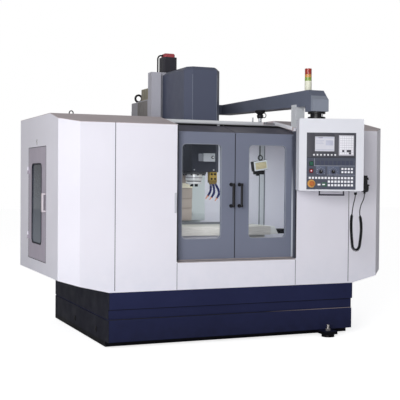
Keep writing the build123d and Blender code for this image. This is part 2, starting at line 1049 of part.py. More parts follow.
def make_nozzle(index):
    """One jointed hose: leaning tube with a narrow tip."""
    x = nozzle_block_x + (index - 1) * nozzle_pitch
    low_x = x + (index - 1) * nozzle_lean
    start = Vector(x, nozzle_block_y, block_bottom)
    end = Vector(low_x - nozzle_lean / 2, nozzle_block_y, block_bottom - nozzle_drop)
    knee = Vector(x, nozzle_block_y, block_bottom - nozzle_drop * nozzle_knee_share)
    path = FilletPolyline(start, knee, end, radius=nozzle_drop * nozzle_bend_share)
    hose = sweep(Plane(origin=start, z_dir=(0, 0, -1)) * Circle(nozzle_radius), path=path)
    aim = (end - knee).normalized()
    tip_start = Plane(origin=end, z_dir=aim) * Circle(nozzle_radius)
    tip = extrude(tip_start, nozzle_tip_length, taper=nozzle_tip_slope)
    return hose, tip


hoses = [make_nozzle(index) for index in range(3)]
nodes["coolant_hoses"] = Compound(children=[hose + tip for hose, tip in hoses])


# Vertical axis motor, its cap and lead
def square_rod(half, corner, z0, z1, x, y):
    """Upright square bar with cut corners."""
    plan = Pos(x, y, z0) * Rectangle(2 * half, 2 * half)
    return extrude(chamfer(plan.vertices(), corner), z1 - z0)


motor_top = column_top + motor_height
motor = square_rod(motor_half, motor_corner / 2, column_top, column_top + motor_flange, motor_x, motor_y)
motor += square_rod(
    motor_half - motor_neck, motor_corner, column_top + motor_flange, motor_top, motor_x, motor_y
)
nodes["z_motor"] = motor
cap_top = motor_top + cap_height
cap = square_rod(cap_half, motor_corner / 2, motor_top, cap_top, motor_x, motor_y)
nodes["z_motor_cap"] = chamfer(cap.faces().sort_by(Axis.Z)[-1].edges(), cap_height * cap_chamfer_share)
lead_z = cap_top - cap_height / 2
lead_start = Vector(motor_x - cap_half, motor_y, lead_z)
lead_path = FilletPolyline(
    lead_start, (lead_end_x, motor_y, lead_z), (lead_end_x, motor_y, column_top), radius=lead_bend
)
lead_plane = Plane(origin=lead_start, z_dir=lead_path % 0)
nodes["z_motor_lead"] = sweep(lead_plane * Circle(lead_radius), path=lead_path)

nodes["column_box"] = block(
    -column_half, -side_box_inner, side_box_front, side_box_rear, column_shoulder, side_box_top
)


# Switch cabinet behind the column
cabinet = block(-column_half, column_half, column_rear, cabinet_rear, cabinet_bottom, cabinet_top)
cabinet -= block(
    cabinet_wall - column_half,
    column_half - cabinet_wall,
    column_rear + cabinet_wall,
    cabinet_rear + overrun,
    cabinet_bottom + cabinet_wall,
    cabinet_top - cabinet_wall,
)
door_side = column_half - cabinet_door_inset
cabinet_door_low = cabinet_bottom + cabinet_door_inset
cabinet_door_high = cabinet_top - cabinet_door_inset
cabinet_door = block(
    -door_side,
    door_side,
    cabinet_rear + slide_gap,
    cabinet_rear + cabinet_door_thick,
    cabinet_door_low,
    cabinet_door_high,
)
cabinet_hinge_x = -door_side - cabinet_hinge_radius - slide_gap
cabinet_hinge_y = cabinet_rear + cabinet_door_thick - cabinet_hinge_radius
for low in (cabinet_door_low + hinge_length, cabinet_door_high - 2 * hinge_length):
    middle = low + hinge_length / 2
    high = low + hinge_length
    tab = cabinet_hinge_radius / 2
    tab_front = cabinet_hinge_y - tab
    tab_rear = cabinet_hinge_y + tab
    cabinet_door += block(cabinet_hinge_x, -door_side, tab_front, tab_rear, low, middle)
    cabinet_door += rod_z(cabinet_hinge_radius, low, middle, cabinet_hinge_x, cabinet_hinge_y)
    lower = middle + slide_gap
    tab_left = cabinet_hinge_x - tab
    cabinet += block(tab_left, cabinet_hinge_x + tab, cabinet_rear, cabinet_hinge_y, lower, high)
    cabinet += rod_z(cabinet_hinge_radius, lower, high, cabinet_hinge_x, cabinet_hinge_y)
nodes["cabinet"] = cabinet
nodes["cabinet_door"] = cabinet_door


# Lifting eyes: four small ones on the roof, two large ones on the cabinet
def lifting_eye(x, y, z, ring, wire, shank):
    """Ring that stands on a short collar."""
    collar = rod_z(wire * eye_collar_share, z, z + shank, x, y)
    middle = z + shank + ring - wire / 2
    loop = rod_y(ring + wire, y - wire, y + wire, x, middle)
    loop -= rod_y(ring - wire, y - wire, y + wire, x, middle)
    loop = chamfer(loop.edges().filter_by(GeomType.CIRCLE), wire * eye_chamfer_share)
    return collar + loop


eyes = []
for side in (-1, 1):
    for y in (roof_eye_front_y, roof_eye_rear_y):
        eye = lifting_eye(0, y, roof_top, roof_eye_ring_radius, roof_eye_wire_radius, roof_eye_shank_height)
        eyes.append(Pos(side * roof_eye_x, 0, 0) * eye)
eye_y = (column_rear + cabinet_rear) / 2
eye_x = column_half - eye_ring_radius - eye_wire_radius
for x in (-eye_x, eye_x):
    eyes.append(lifting_eye(x, eye_y, cabinet_top, eye_ring_radius, eye_wire_radius, eye_shank_height))
nodes["lifting_eyes"] = Compound(children=eyes)


# Arm from the column over the right front of the roof, with its post
def arm_under(y):
    """Height of the sloped underside of the arm."""
    run = (y - arm_block_rear) / (arm_root_rear - arm_block_rear)
    return arm_under_front + (arm_under_rear - arm_under_front) * run


arm_side = [
    (arm_end, arm_block_bottom),
    (arm_block_rear, arm_block_bottom),
    (arm_block_rear, arm_under_front),
    (arm_root_rear, arm_under_rear),
    (arm_root_rear, arm_top),
    (arm_end + arm_nose_back, arm_top),
    (arm_end, arm_top - arm_nose_drop),
]
arm = prism_x(arm_side, arm_left, arm_right)
root_bottom = arm_under(arm_root_front)
arm += block(column_half, arm_left, arm_root_front, arm_root_rear, root_bottom, arm_top)
arm += block(
    column_half,
    column_half + arm_flange,
    arm_root_front - arm_flange_margin,
    column_rear,
    root_bottom - arm_flange_margin,
    column_shoulder,
)
nodes["arm"] = arm

post_rear = post_front + post_depth
post_side = [
    (post_front, roof_at(post_front)),
    (post_rear, roof_at(post_rear)),
    (post_rear, arm_under(post_rear)),
    (post_front, arm_under(post_front)),
]
post = prism_x(post_side, arm_left, arm_left + post_width)
cheek_side = [
    (post_front, roof_at(post_front)),
    (post_rear, roof_at(post_rear)),
    (post_rear, post_cheek_top),
    (post_front, post_cheek_top),
]
post += prism_x(cheek_side, arm_left - post_cheek, arm_left)
nodes["arm_post"] = post


# Signal tower on the arm
tower_level = arm_top + tower_base_height
nodes["tower_base"] = rod_z(tower_radius, arm_top, tower_level, tower_x, tower_y)
lenses = []
for height in (tower_green_height, tower_amber_height, tower_red_height):
    lenses.append(rod_z(tower_radius, tower_level, tower_level + height, tower_x, tower_y))
    tower_level += height
nodes["tower_lenses"] = Compound(children=lenses)


# Work lamp that hangs from the rail
lamp_y = rail_front + rail_thick / 2
hanger_top = roof_top + hanger_height
hanger_outline = [
    (0, roof_top),
    (hanger_waist_radius, roof_top),
    (hanger_waist_radius, roof_top + hanger_foot_height),
    (hanger_radius, hanger_top - hanger_foot_height),
    (hanger_radius, hanger_top),
    (0, hanger_top),
]
hanger = turned(hanger_outline, lamp_x, lamp_y)
loop_x = lamp_x + hanger_radius + hanger_loop_bore / 2
loop_z = hanger_top - hanger_foot_height
loop_front = lamp_y - hanger_loop_thick / 2
loop_rear = lamp_y + hanger_loop_thick / 2
loop = rod_y(hanger_loop_radius, loop_front, loop_rear, loop_x, loop_z)
loop -= rod_y(hanger_loop_bore, loop_front, loop_rear, loop_x, loop_z)
nodes["lamp_hanger"] = hanger + loop

lamp = rod_z(lamp_rod_radius, lamp_top, shelf_bottom, lamp_x, lamp_y)
ring_front = lamp_y - lamp_ring_thick / 2
lamp += rod_y(lamp_ring_radius, ring_front, ring_front + lamp_ring_thick, lamp_x, lamp_ring_z)
lamp_front = lamp_y - lamp_depth / 2
lamp_rear = lamp_y + lamp_depth / 2
lamp += block(lamp_x - lamp_half, lamp_x + lamp_half, lamp_front, lamp_rear, lamp_bottom, lamp_top)
lamp -= block(
    lamp_x - lamp_half + lamp_wall,
    lamp_x + lamp_half - lamp_wall,
    lamp_front - overrun,
    lamp_rear - lamp_wall,
    lamp_bottom + lamp_wall,
    lamp_top - lamp_wall,
)
for index in range(lamp_fin_count):
    fin_x = lamp_x + (index - (lamp_fin_count - 1) / 2) * 2 * lamp_half / lamp_fin_count
    lamp += block(
        fin_x - lamp_fin_thick / 2,
        fin_x + lamp_fin_thick / 2,
        lamp_rear,
        lamp_rear + lamp_fin_depth,
        lamp_bottom,
        lamp_top,
    )
nodes["work_lamp"] = lamp
nodes["lamp_glass"] = block(
    lamp_x - lamp_half + lamp_wall,
    lamp_x + lamp_half - lamp_wall,
    lamp_front + lamp_wall,
    lamp_front + lamp_wall + lamp_glass_thick,
    lamp_bottom + lamp_wall,
    lamp_top - lamp_wall,
)


# Control box and what it carries, built facing front about the swivel axis
box_parts = {}
swivel_outline = [
    (0, box_top),
    (swivel_radius, box_top),
    (swivel_radius, box_top + swivel_flange),
    (swivel_waist_radius, box_top + swivel_flange),
    (swivel_waist_radius, arm_block_bottom - swivel_flange),
    (swivel_radius, arm_block_bottom - swivel_flange),
    (swivel_radius, arm_block_bottom - slide_gap),
    (0, arm_block_bottom - slide_gap),
]
box_parts["swivel"] = turned(swivel_outline, 0, 0)

half_depth = box_depth / 2
case = block(box_left, box_right, -half_depth, half_depth, box_bottom, box_top)
case = fillet(case.edges().filter_by(Axis.Y), box_round)
panel_right = panel_left + panel_width
panel_bottom = box_bottom + panel_bottom_margin
panel_back = panel_thick - half_depth
panel = block(panel_left, panel_right, -half_depth, panel_back, panel_bottom, panel_top)
box_parts["control_box"] = case - panel

screen_x0 = panel_left + screen_left
screen_z1 = panel_top - screen_down
screen = block(
    screen_x0,
    screen_x0 + screen_width,
    -half_depth,
    screen_thick - half_depth,
    screen_z1 - screen_height,
    screen_z1,
)
panel -= screen
box_parts["screen"] = screen


def key_grid(left, down, columns, rows, pitch_x, pitch_z, width, height):
    """Rows of raised keys on the panel."""
    grid = []
    for row in range(rows):
        z1 = panel_top - down - row * pitch_z
        for place in range(columns):
            x0 = panel_left + left + place * pitch_x
            grid.append(block(x0, x0 + width, -half_depth - key_height, -half_depth, z1 - height, z1))
    return grid


keys = key_grid(
    soft_key_left, soft_key_down, soft_key_count, 1, soft_key_pitch, 0, soft_key_width, soft_key_depth
)
keys += key_grid(
    letter_left,
    letter_down,
    letter_columns,
    letter_rows,
    letter_pitch,
    letter_pitch,
    letter_size,
    letter_size,
)
keys += key_grid(strip_left, strip_down, strip_count, 1, strip_pitch, 0, strip_width, strip_depth)
keys += key_grid(
    pad_left, pad_down, pad_columns, pad_rows, pad_pitch, pad_pitch, pad_size, pad_size
)
keys += key_grid(jog_left, jog_down, jog_count, 1, jog_pitch, 0, jog_size, jog_size)
keys += key_grid(
    hand_key_left,
    hand_key_down,
    hand_key_columns,
    hand_key_rows,
    hand_key_pitch_x,
    hand_key_pitch_z,
    hand_key_size,
    hand_key_size,
)
box_parts["keys"] = Compound(children=keys)


stem_end = panel_back - button_travel - slide_gap


def hole_in_panel(x, down, radius):
    """Through hole in the panel for a stem."""
    return rod_y(radius, -half_depth - overrun, panel_back, panel_left + x, panel_top - down)


def make_button(down):
    """Round push button that sits in a collarless hole."""
    front = -half_depth - button_reach
    return rod_y(button_radius, front, stem_end, panel_left + button_x, panel_top - down)


def make_dial(left):
    """Rotary switch: skirt, grip and stem."""
    x = panel_left + left
    z = panel_top - dial_down
    face = -half_depth - slide_gap
    dial = rod_y(dial_skirt_radius, face - dial_skirt, face, x, z)
    dial += rod_y(dial_radius, face - dial_reach / 2, face, x, z)
    grip = grip_width / 2
    dial += block(x - grip, x + grip, face - dial_reach, face, z - dial_radius, z + dial_radius)
    dial += rod_y(pin_radius, face, panel_back - slide_gap, x, z)
    return dial


for down in (start_down, stop_down):
    panel -= hole_in_panel(button_x, down, button_radius + fit_gap)
for left in (dial_left_x, dial_right_x):
    panel -= hole_in_panel(left, dial_down, pin_radius + fit_gap)
panel -= hole_in_panel(stop_switch_x, stop_switch_down, stop_stem_radius + fit_gap)
box_parts["operator_panel"] = panel
box_parts["start_button"] = make_button(start_down)
box_parts["stop_button"] = make_button(stop_down)
box_parts["left_dial"] = make_dial(dial_left_x)
box_parts["right_dial"] = make_dial(dial_right_x)

stop_x = panel_left + stop_switch_x
stop_z = panel_top - stop_switch_down
disc = rod_y(stop_disc_radius, -half_depth - stop_disc_thick, -half_depth, stop_x, stop_z)
disc -= rod_y(stop_stem_radius + fit_gap, -half_depth - overrun, 0, stop_x, stop_z)
box_parts["stop_switch_disc"] = disc
mushroom_back = stop_head_thick - half_depth - stop_head_reach
mushroom = rod_y(stop_head_radius, -half_depth - stop_head_reach, mushroom_back, stop_x, stop_z)
mushroom = chamfer(mushroom.faces().sort_by(Axis.Y)[0].edges(), stop_chamfer)
mushroom += rod_y(stop_stem_radius, mushroom_back, stem_end, stop_x, stop_z)
box_parts["stop_switch"] = mushroom

bar_x0 = box_left + bar_left + bar_radius
bar_x1 = box_left + bar_left + bar_width - bar_radius
bar_z = box_bottom - bar_drop
grab = rod_x(bar_radius, bar_x0 - bar_radius, bar_x1 + bar_radius, 0, bar_z)
for x in (bar_x0, bar_x1):
    grab += rod_z(bar_radius, bar_z, box_bottom, x, 0)
box_parts["grab_bar"] = grab

unit_y0 = unit_y - unit_depth / 2
unit_y1 = unit_y + unit_depth / 2
unit_x0 = box_right + bracket_thick
unit = block(unit_x0, unit_outer, unit_y0, unit_y1, unit_bottom, unit_top)
unit = fillet(unit.edges().filter_by(Axis.X), unit_round)
bracket_y0 = unit_y0 + unit_round
bracket_y1 = unit_y1 - unit_round
unit += block(box_right, unit_x0, bracket_y0, bracket_y1, box_bottom + unit_round, unit_top - unit_round)
unit -= rod_x(pin_radius + fit_gap, unit_x0, unit_outer + overrun, unit_y, wheel_z)
for side in (-1, 1):
    unit -= rod_x(pin_radius + fit_gap, unit_x0, unit_outer + overrun, unit_y + side * knob_spread, knob_z)
box_parts["hand_unit"] = unit

wheel_face = unit_outer + slide_gap
wheel = rod_x(wheel_radius, wheel_face, wheel_face + wheel_thick, unit_y, wheel_z)
wheel += rod_x(pin_radius, unit_x0 + slide_gap, wheel_face, unit_y, wheel_z)
crank_end = wheel_face + wheel_thick + crank_reach
wheel += rod_x(crank_radius, wheel_face, crank_end, unit_y, wheel_z + crank_place)
box_parts["hand_wheel"] = wheel


def make_knob(side):
    """Selector knob of the hand wheel unit."""
    y = unit_y + side * knob_spread
    knob = rod_x(knob_radius, wheel_face, wheel_face + knob_reach / 2, y, knob_z)
    grip = knob_grip / 2
    knob_low = knob_z - knob_radius
    knob_high = knob_z + knob_radius
    knob += block(wheel_face, wheel_face + knob_reach, y - grip, y + grip, knob_low, knob_high)
    knob += rod_x(pin_radius, unit_x0 + slide_gap, wheel_face, y, knob_z)
    return knob


box_parts["axis_knob"] = make_knob(-1)
box_parts["step_knob"] = make_knob(1)

box_parts["control_box"] += rod_z(gland_radius, box_bottom - gland_height, box_bottom, gland_x, 0)
relief_x = back_route[-1][0]
box_parts["hand_unit"] += rod_z(gland_radius, unit_bottom - gland_height, unit_bottom, relief_x, 0)


def route_tube(points, radius):
    """Tube along straight runs with arcs that fit between them."""
    vectors = [Vector(*point) for point in points]
    radii = []
    for before, corner, after in zip(vectors, vectors[1:], vectors[2:]):
        first = corner - before
        second = after - corner
        shorter = min(first.length, second.length)
        half_turn = first.get_angle(second) / 2
        radii.append(cord_arc_share * shorter / tan_deg(half_turn))
    print("arc radii", [round(value) for value in radii])
    path = FilletPolyline(*vectors, radius=radii)
    plane = Plane(origin=vectors[0], z_dir=vectors[1] - vectors[0])
    return sweep(plane * Circle(radius), path=path)


def tan_deg(angle):
    """Tangent of an angle in degrees."""
    return Vector(1, 0, 0).rotate(Axis.Z, angle).Y / Vector(1, 0, 0).rotate(Axis.Z, angle).X


lead_ends = [route_tube(out_route, cord_radius), route_tube(back_route, cord_radius)]
box_parts["lead_ends"] = Compound(children=lead_ends)
box_parts["lead_coil"] = route_tube(coil_route, coil_radius)

placed = Pos(swivel_x, swivel_y, 0) * Rot(0, 0, box_turn)
for name, shape in box_parts.items():
    nodes[name] = placed * shape

# The origin lies on the floor under the middle of the machine, free leads left out
cord_nodes = ("lead_ends", "lead_coil")
boxes = [shape.bounding_box() for name, shape in nodes.items() if name not in cord_nodes]
middle_x = (min(box.min.X for box in boxes) + max(box.max.X for box in boxes)) / 2
middle_y = (min(box.min.Y for box in boxes) + max(box.max.Y for box in boxes)) / 2
lowest = min(box.min.Z for box in boxes)
print("shift", -middle_x, -middle_y, -lowest)
to_origin = Pos(-middle_x, -middle_y, -lowest)

os.makedirs("parts", exist_ok=True)
for name, shape in nodes.items():
    moved = [to_origin * solid for solid in shape.solids()]
    export_step(Compound(children=moved), os.path.join("parts", name + ".step"))
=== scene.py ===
import bpy
import math
from mathutils import Matrix, Vector


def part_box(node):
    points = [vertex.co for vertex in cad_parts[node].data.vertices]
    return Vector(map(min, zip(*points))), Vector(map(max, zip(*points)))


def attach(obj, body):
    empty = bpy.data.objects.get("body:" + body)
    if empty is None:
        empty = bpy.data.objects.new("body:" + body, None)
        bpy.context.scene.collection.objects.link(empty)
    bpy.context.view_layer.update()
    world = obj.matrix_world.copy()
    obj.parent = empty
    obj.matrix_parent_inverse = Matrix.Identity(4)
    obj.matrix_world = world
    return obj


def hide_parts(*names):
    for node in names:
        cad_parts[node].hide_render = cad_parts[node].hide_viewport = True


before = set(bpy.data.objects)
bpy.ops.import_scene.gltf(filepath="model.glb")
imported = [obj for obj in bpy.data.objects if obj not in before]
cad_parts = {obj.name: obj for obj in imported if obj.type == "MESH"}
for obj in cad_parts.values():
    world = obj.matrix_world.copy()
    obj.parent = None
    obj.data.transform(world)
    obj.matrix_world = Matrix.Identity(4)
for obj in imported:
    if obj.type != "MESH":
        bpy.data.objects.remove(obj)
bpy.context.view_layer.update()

# Base: one iron casting with stepped bands across its front, filled and sprayed satin navy. Its
# lower bands are darker, its left end is darkened as painted shade, and the toe, which is set
# back, is nearly black with painted shadow.
front_low, front_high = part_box("front_panels")
middle_x = (front_low.x + front_high.x) / 2
front_y = front_low.y


def at(x, y, z):
    """Point given in millimetres from the machine's middle, front sheet and floor."""
    return Vector((middle_x + x / 1000, front_y + y / 1000, z / 1000))


def shade(red, green, blue):
    """Colour as the eye reads it on a screen, made linear for a shader."""
    parts = []
    for value in (red, green, blue):
        value = value / 255
        parts.append(value / 12.92 if value <= 0.04045 else ((value + 0.055) / 1.055) ** 2.4)
    return (*parts, 1.0)


def feed(tree, node, *values, **inputs):
    """Give a node's inputs, in their order or by name, values or the sockets that feed them."""
    given = list(zip(node.inputs, values))
    given += [(node.inputs[name.replace("_", " ")], value) for name, value in inputs.items()]
    for socket, value in given:
        if isinstance(value, bpy.types.NodeSocket):
            tree.links.new(value, socket)
        else:
            socket.default_value = value


def node_of(tree, kind, *values, **inputs):
    """New shader node with its inputs fed."""
    made = tree.nodes.new("ShaderNode" + kind)
    feed(tree, made, *values, **inputs)
    return made


def maths(tree, operation, *values):
    """Result of a sum on sockets and numbers."""
    made = node_of(tree, "Math")
    made.operation = operation
    feed(tree, made, *values)
    return made.outputs["Value"]


def new_look(name):
    """New material, its node tree and its surface node."""
    made = bpy.data.materials.new(name)
    made.use_nodes = True
    return made, made.node_tree, made.node_tree.nodes["Principled BSDF"]


def noise(tree, scale, detail, rough=0.5, stretch=(1.0, 1.0, 1.0)):
    """Noise over a piece, fixed to it, drawn out along an axis by a smaller stretch."""
    place = node_of(tree, "TexCoord").outputs["Object"]
    drawn = node_of(tree, "Mapping", Vector=place, Scale=stretch).outputs["Vector"]
    return node_of(tree, "TexNoise", Vector=drawn, Scale=scale, Detail=detail, Roughness=rough).outputs["Fac"]


def reach(tree, axis):
    """Place on a piece along one axis."""
    return node_of(tree, "SeparateXYZ", Vector=node_of(tree, "TexCoord").outputs["Object"]).outputs[axis]


def tones(tree, share, dark, light, low=0.0, high=1.0):
    """Colour between a dark and a light tone."""
    ramp = node_of(tree, "ValToRGB", Fac=share)
    for stop, place, colour in zip(ramp.color_ramp.elements, (low, high), (dark, light)):
        stop.position = place
        stop.color = (*colour[:3], 1)
    return ramp.outputs["Color"]


def paint(name, colour, mottle=0.06, rough=0.42, peel=0.05, coat=0.0, sheen=0.25):
    """Sprayed paint on metal: slow drift of tone, orange peel, patches handled smoother."""
    made, tree, surface = new_look(name)
    colour = shade(*colour)
    dark = [part * (1 - mottle) for part in colour[:3]]
    light = [min(1.0, part * (1 + mottle * 0.6)) for part in colour[:3]]
    gloss = node_of(tree, "MapRange", Value=noise(tree, 7.0, 5.0), From_Min=0.3, From_Max=0.7,
                    To_Min=rough - 0.06, To_Max=rough + 0.10)
    skin = node_of(tree, "Bump", Strength=peel, Distance=0.001, Height=noise(tree, 330.0, 2.0))
    feed(tree, surface, Base_Color=tones(tree, noise(tree, 1.7, 4.0, 0.55), dark, light, 0.30, 0.70),
         Roughness=gloss.outputs["Result"], Normal=skin.outputs["Normal"], Specular_IOR_Level=sheen,
         Coat_Weight=coat, Coat_Roughness=0.25)
    return made


def dress(material, *names):
    """Give CAD nodes their finish."""
    for name in names:
        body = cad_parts[name]
        if not body.material_slots:
            body.data.materials.append(material)
        for place in body.material_slots:
            place.material = material


def blend_in(material, share, colour):
    """Blend a second colour over a material's own by the share that a socket gives."""
    tree = material.node_tree
    surface = tree.nodes["Principled BSDF"]
    own = surface.inputs["Base Color"].links[0].from_socket
    mix = node_of(tree, "MixRGB", Fac=share, Color1=own, Color2=shade(*colour))
    feed(tree, surface, Base_Color=mix.outputs["Color"])


def tint_by_height(material, low, high, colour, strength):
    """Blend a second colour in towards the lower of two heights, with a ragged edge."""
    tree = material.node_tree
    band = node_of(tree, "MapRange", Value=reach(tree, "Z"), From_Min=high, From_Max=low)
    ragged = maths(tree, "MULTIPLY", band.outputs["Result"], noise(tree, 14.0, 6.0))
    blend_in(material, maths(tree, "MULTIPLY", ragged, strength), colour)


def tint_past(material, axis, edge, colour, share=1.0, rise=0.002):
    """Blend a second colour in past a plane square to an axis; a negative rise means below it."""
    tree = material.node_tree
    band = node_of(tree, "MapRange", Value=reach(tree, axis), From_Min=edge, From_Max=edge + rise,
                   To_Max=share)
    blend_in(material, band.outputs["Result"], colour)


left_end = at(-1046, 0, 0).x
toe_top = 0.050
navy = paint("navy casting paint", (35, 39, 70), mottle=0.14, rough=0.50, peel=0.10, sheen=0.08)
tint_by_height(navy, 0.02, 0.30, (24, 25, 40), 0.9)
# Painted shade: the base's left end darker.
tint_past(navy, "X", left_end, (24, 24, 32), 0.85, -0.002)
# Painted shadow: the set-back toe nearly black.
tint_past(navy, "Z", toe_top, (12, 12, 18), 1.0, -0.006)
dress(navy, "base")

# Fittings of the base: a painted shadow line in the step under its upper band, a line of painted
# shadow on the ledge below, rubbed pale towards the right, and turned black caps pressed into the
# holes for the lifting bars in its ends.
hairline = 0.0004
base_half = 1050


def start_box(name, low, high):
    """Cube between two corners, alone in the selection, its place in its mesh."""
    bpy.ops.mesh.primitive_cube_add(size=1, location=(low + high) / 2)
    made = bpy.context.object
    made.name = name
    made.scale = high - low
    bpy.ops.object.transform_apply(location=True, rotation=True, scale=True)
    return made


def soften(piece, width, segments=2, angle=35):
    """Break the sharp edges of a piece, as filing or moulding leaves them."""
    bpy.ops.object.select_all(action="DESELECT")
    piece.select_set(True)
    bpy.context.view_layer.objects.active = piece
    edge = piece.modifiers.new("broken edges", "BEVEL")
    edge.width = width
    edge.segments = segments
    edge.limit_method = "ANGLE"
    edge.angle_limit = math.radians(angle)
    bpy.ops.object.modifier_apply(modifier=edge.name)
    bpy.ops.object.shade_smooth_by_angle(angle=math.radians(angle))
    return piece


def plate(name, low, high, edge):
    """Plate or block with broken edges, between two corners in millimetres."""
    return soften(start_box(name, at(*low), at(*high)), edge)


def gather(name, pieces):
    """Join several meshes into one piece."""
    bpy.ops.object.select_all(action="DESELECT")
    for piece in pieces:
        piece.select_set(True)
    bpy.context.view_layer.objects.active = pieces[0]
    bpy.ops.object.join()
    pieces[0].name = name
    pieces[0].data.name = name
    return pieces[0]


def fit(piece, material, body):
    """Paint a piece and let it ride on its body."""
    piece.data.materials.clear()
    piece.data.materials.append(material)
    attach(piece, body)
    return piece


def joined(name, pieces, material, body):
    """Join several meshes into one finished piece."""
    return fit(gather(name, pieces), material, body)


def soft_black(name, colour, rough=0.6):
    """Moulded plastic or rubber with a fine spark grain."""
    return paint(name, colour, mottle=0.18, rough=rough, peel=0.18)


def cap_disc(name, centre, radius, depth, axis, edge, sides=32):
    """Short turned disc along an axis, with broken rims."""
    bpy.ops.mesh.primitive_cylinder_add(vertices=sides, radius=radius, depth=depth, location=(0, 0, 0))
    made = bpy.context.object
    made.name = name
    made.rotation_euler = Vector(axis).to_track_quat("Z", "Y").to_euler()
    made.location = centre
    bpy.ops.object.transform_apply(location=True, rotation=True, scale=True)
    return soften(made, edge)


# Painted shadow: a near-black line in the step.
step_shadow_line = plate("base_step_line", (1 - base_half, 18.8, 290), (base_half - 1, 20.8, 297), hairline)
fit(step_shadow_line, soft_black("step shadow paint", (9, 9, 15), rough=0.8), "frame")
# Painted shadow on the ledge, rubbed pale towards the right.
ledge_shadow_and_wear = paint("ledge shadow and rubbed paint", (17, 17, 27), mottle=0.3)
tint_past(ledge_shadow_and_wear, "X", at(250, 0, 0).x, (150, 138, 140), 0.75, 0.5)
ledge_line = plate("base_ledge_line", (1 - base_half, 8.9, 217.5), (base_half - 1, 10.8, 222.3), hairline)
fit(ledge_line, ledge_shadow_and_wear, "frame")
plugs = []
for out in (-1, 1):
    for y, z in ((339, 105), (962, 101)):
        plugs.append(cap_disc("plug", at(out * (base_half + 1), y, z), 0.024, 0.006, (1, 0, 0), 0.0018))
        plugs.append(cap_disc("plug", at(out * (base_half + 4), y, z), 0.011, 0.004, (1, 0, 0), 0.0012))
joined("base_plugs", plugs, soft_black("black plug", (17, 17, 22)), "frame")

# Levelling feet: turned steel pads with a threaded stud and a lock nut, zinc plated, a little
# dulled and dark below, screwed into the lugs of the base.


def bare_metal(name, colour, rough, grain, stretch=(1.0, 1.0, 1.0), metal=1.0):
    """Machined or plated metal with fine directional scratches."""
    made, tree, surface = new_look(name)
    lines = noise(tree, grain, 6.0, 0.6, stretch)
    colour = shade(*colour)
    dark = [part * 0.82 for part in colour[:3]]
    light = [min(1.0, part * 1.08) for part in colour[:3]]
    gloss = node_of(tree, "MapRange", Value=lines, To_Min=rough - 0.08, To_Max=rough + 0.12)
    scratch = node_of(tree, "Bump", Strength=0.08, Distance=0.0006, Height=lines)
    feed(tree, surface, Metallic=metal, Base_Color=tones(tree, lines, dark, light, 0.32, 0.68),
         Roughness=gloss.outputs["Result"], Normal=scratch.outputs["Normal"])
    return made


zinc = bare_metal("dull zinc plate", (172, 168, 166), 0.38, 60.0)
tint_past(zinc, "Z", 0.034, (34, 32, 34), 1.0, -0.002)
dress(zinc, "levelling_feet")

# Enclosure: folded steel sheets bolted to each other from inside, sprayed in a cool satin white.
# The roof sheets are of a greyer coat, and the joints between panels are drawn by dark beads.
white = paint("cool white sheet paint", (233, 231, 241), mottle=0.025, rough=0.38, peel=0.04)
tint_by_height(white, 0.42, 0.75, (214, 217, 230), 0.7)
dress(white, "front_panels", "corner_panels", "side_panels", "rear_panels")
dress(paint("grey roof paint", (200, 188, 191), mottle=0.06, rough=0.45), "roof_panels")
dress(paint("pale chip tray paint", (190, 194, 200), mottle=0.10, rough=0.50), "tray")
corner_x, jamb_x = 1007, 512
beads = [plate("bead", (x - 2.6, -0.8, 438), (x + 2.6, 1.2, 1690), hairline) for x in (-corner_x, corner_x)]
beads += [plate("bead", (x - 2.0, -0.8, 427), (x + 2.0, 1.2, 631), hairline) for x in (-jamb_x, jamb_x)]
bead_rubber = soft_black("dark joint bead", (70, 70, 82), rough=0.7)
joined("panel_joint_beads", beads, bead_rubber, "frame")

# Edge trims of the door opening: black rubber channel pushed over the sheet's edge, and grey
# liners on the jambs behind it.


def both_sides(name, near, far, low, high, edge):
    """One plate on the left and one on the right: near and far in x, low and high in y and z."""
    pair = []
    for side in (-1, 1):
        left, right = sorted((side * near, side * far))
        pair.append(plate(name, (left, *low), (right, *high), edge))
    return pair


trims = both_sides("trim", 506.5, 516.5, (-2.2, 641), (5.5, 1684), 0.0018)
joined("opening_edge_trims", trims, soft_black("edge trim rubber", (44, 45, 54)), "frame")
liners = both_sides("liner", 510.6, 511.9, (6, 642), (54, 1666), 0.0003)
liner_paint = paint("grey jamb paint", (74, 77, 90), mottle=0.06, rough=0.4)
joined("jamb_liners", liners, liner_paint, "frame")

# Edge strips of the roof opening: folded strips of sheet, screwed along the slanted edges over
# the doors, their pale coat a painted highlight where they face the key light.


def turn_about(piece, pivot, angle, axis):
    """Turn a piece about a point, in its mesh."""
    turn = Matrix.Rotation(angle, 4, axis)
    piece.data.transform(Matrix.Translation(pivot) @ turn @ Matrix.Translation(-pivot))
    return piece


roof_slope = math.atan2(59, 331)
strips = []
for side in (-1, 1):
    low, high = sorted((side * 510.4, side * 511.9))
    strip = start_box("strip", at(low, 77, 1677), at(high, 413, 1707))
    strips.append(soften(turn_about(strip, at(0, 77, 1692), roof_slope, "X"), hairline))
# Painted highlight: the strips' pale coat.
joined("roof_edge_strips", strips, paint("roof strip highlight paint", (226, 226, 232)), "frame")

# Latch strip beside the left door: a slim pressed steel plate in grey white paint, screwed to
# the panel's edge.
strip = plate("door_latch_strip", (-537, -4, 1013), (-519, 0, 1168), 0.0012)
fit(strip, paint("latch strip paint", (196, 197, 206)), "frame")

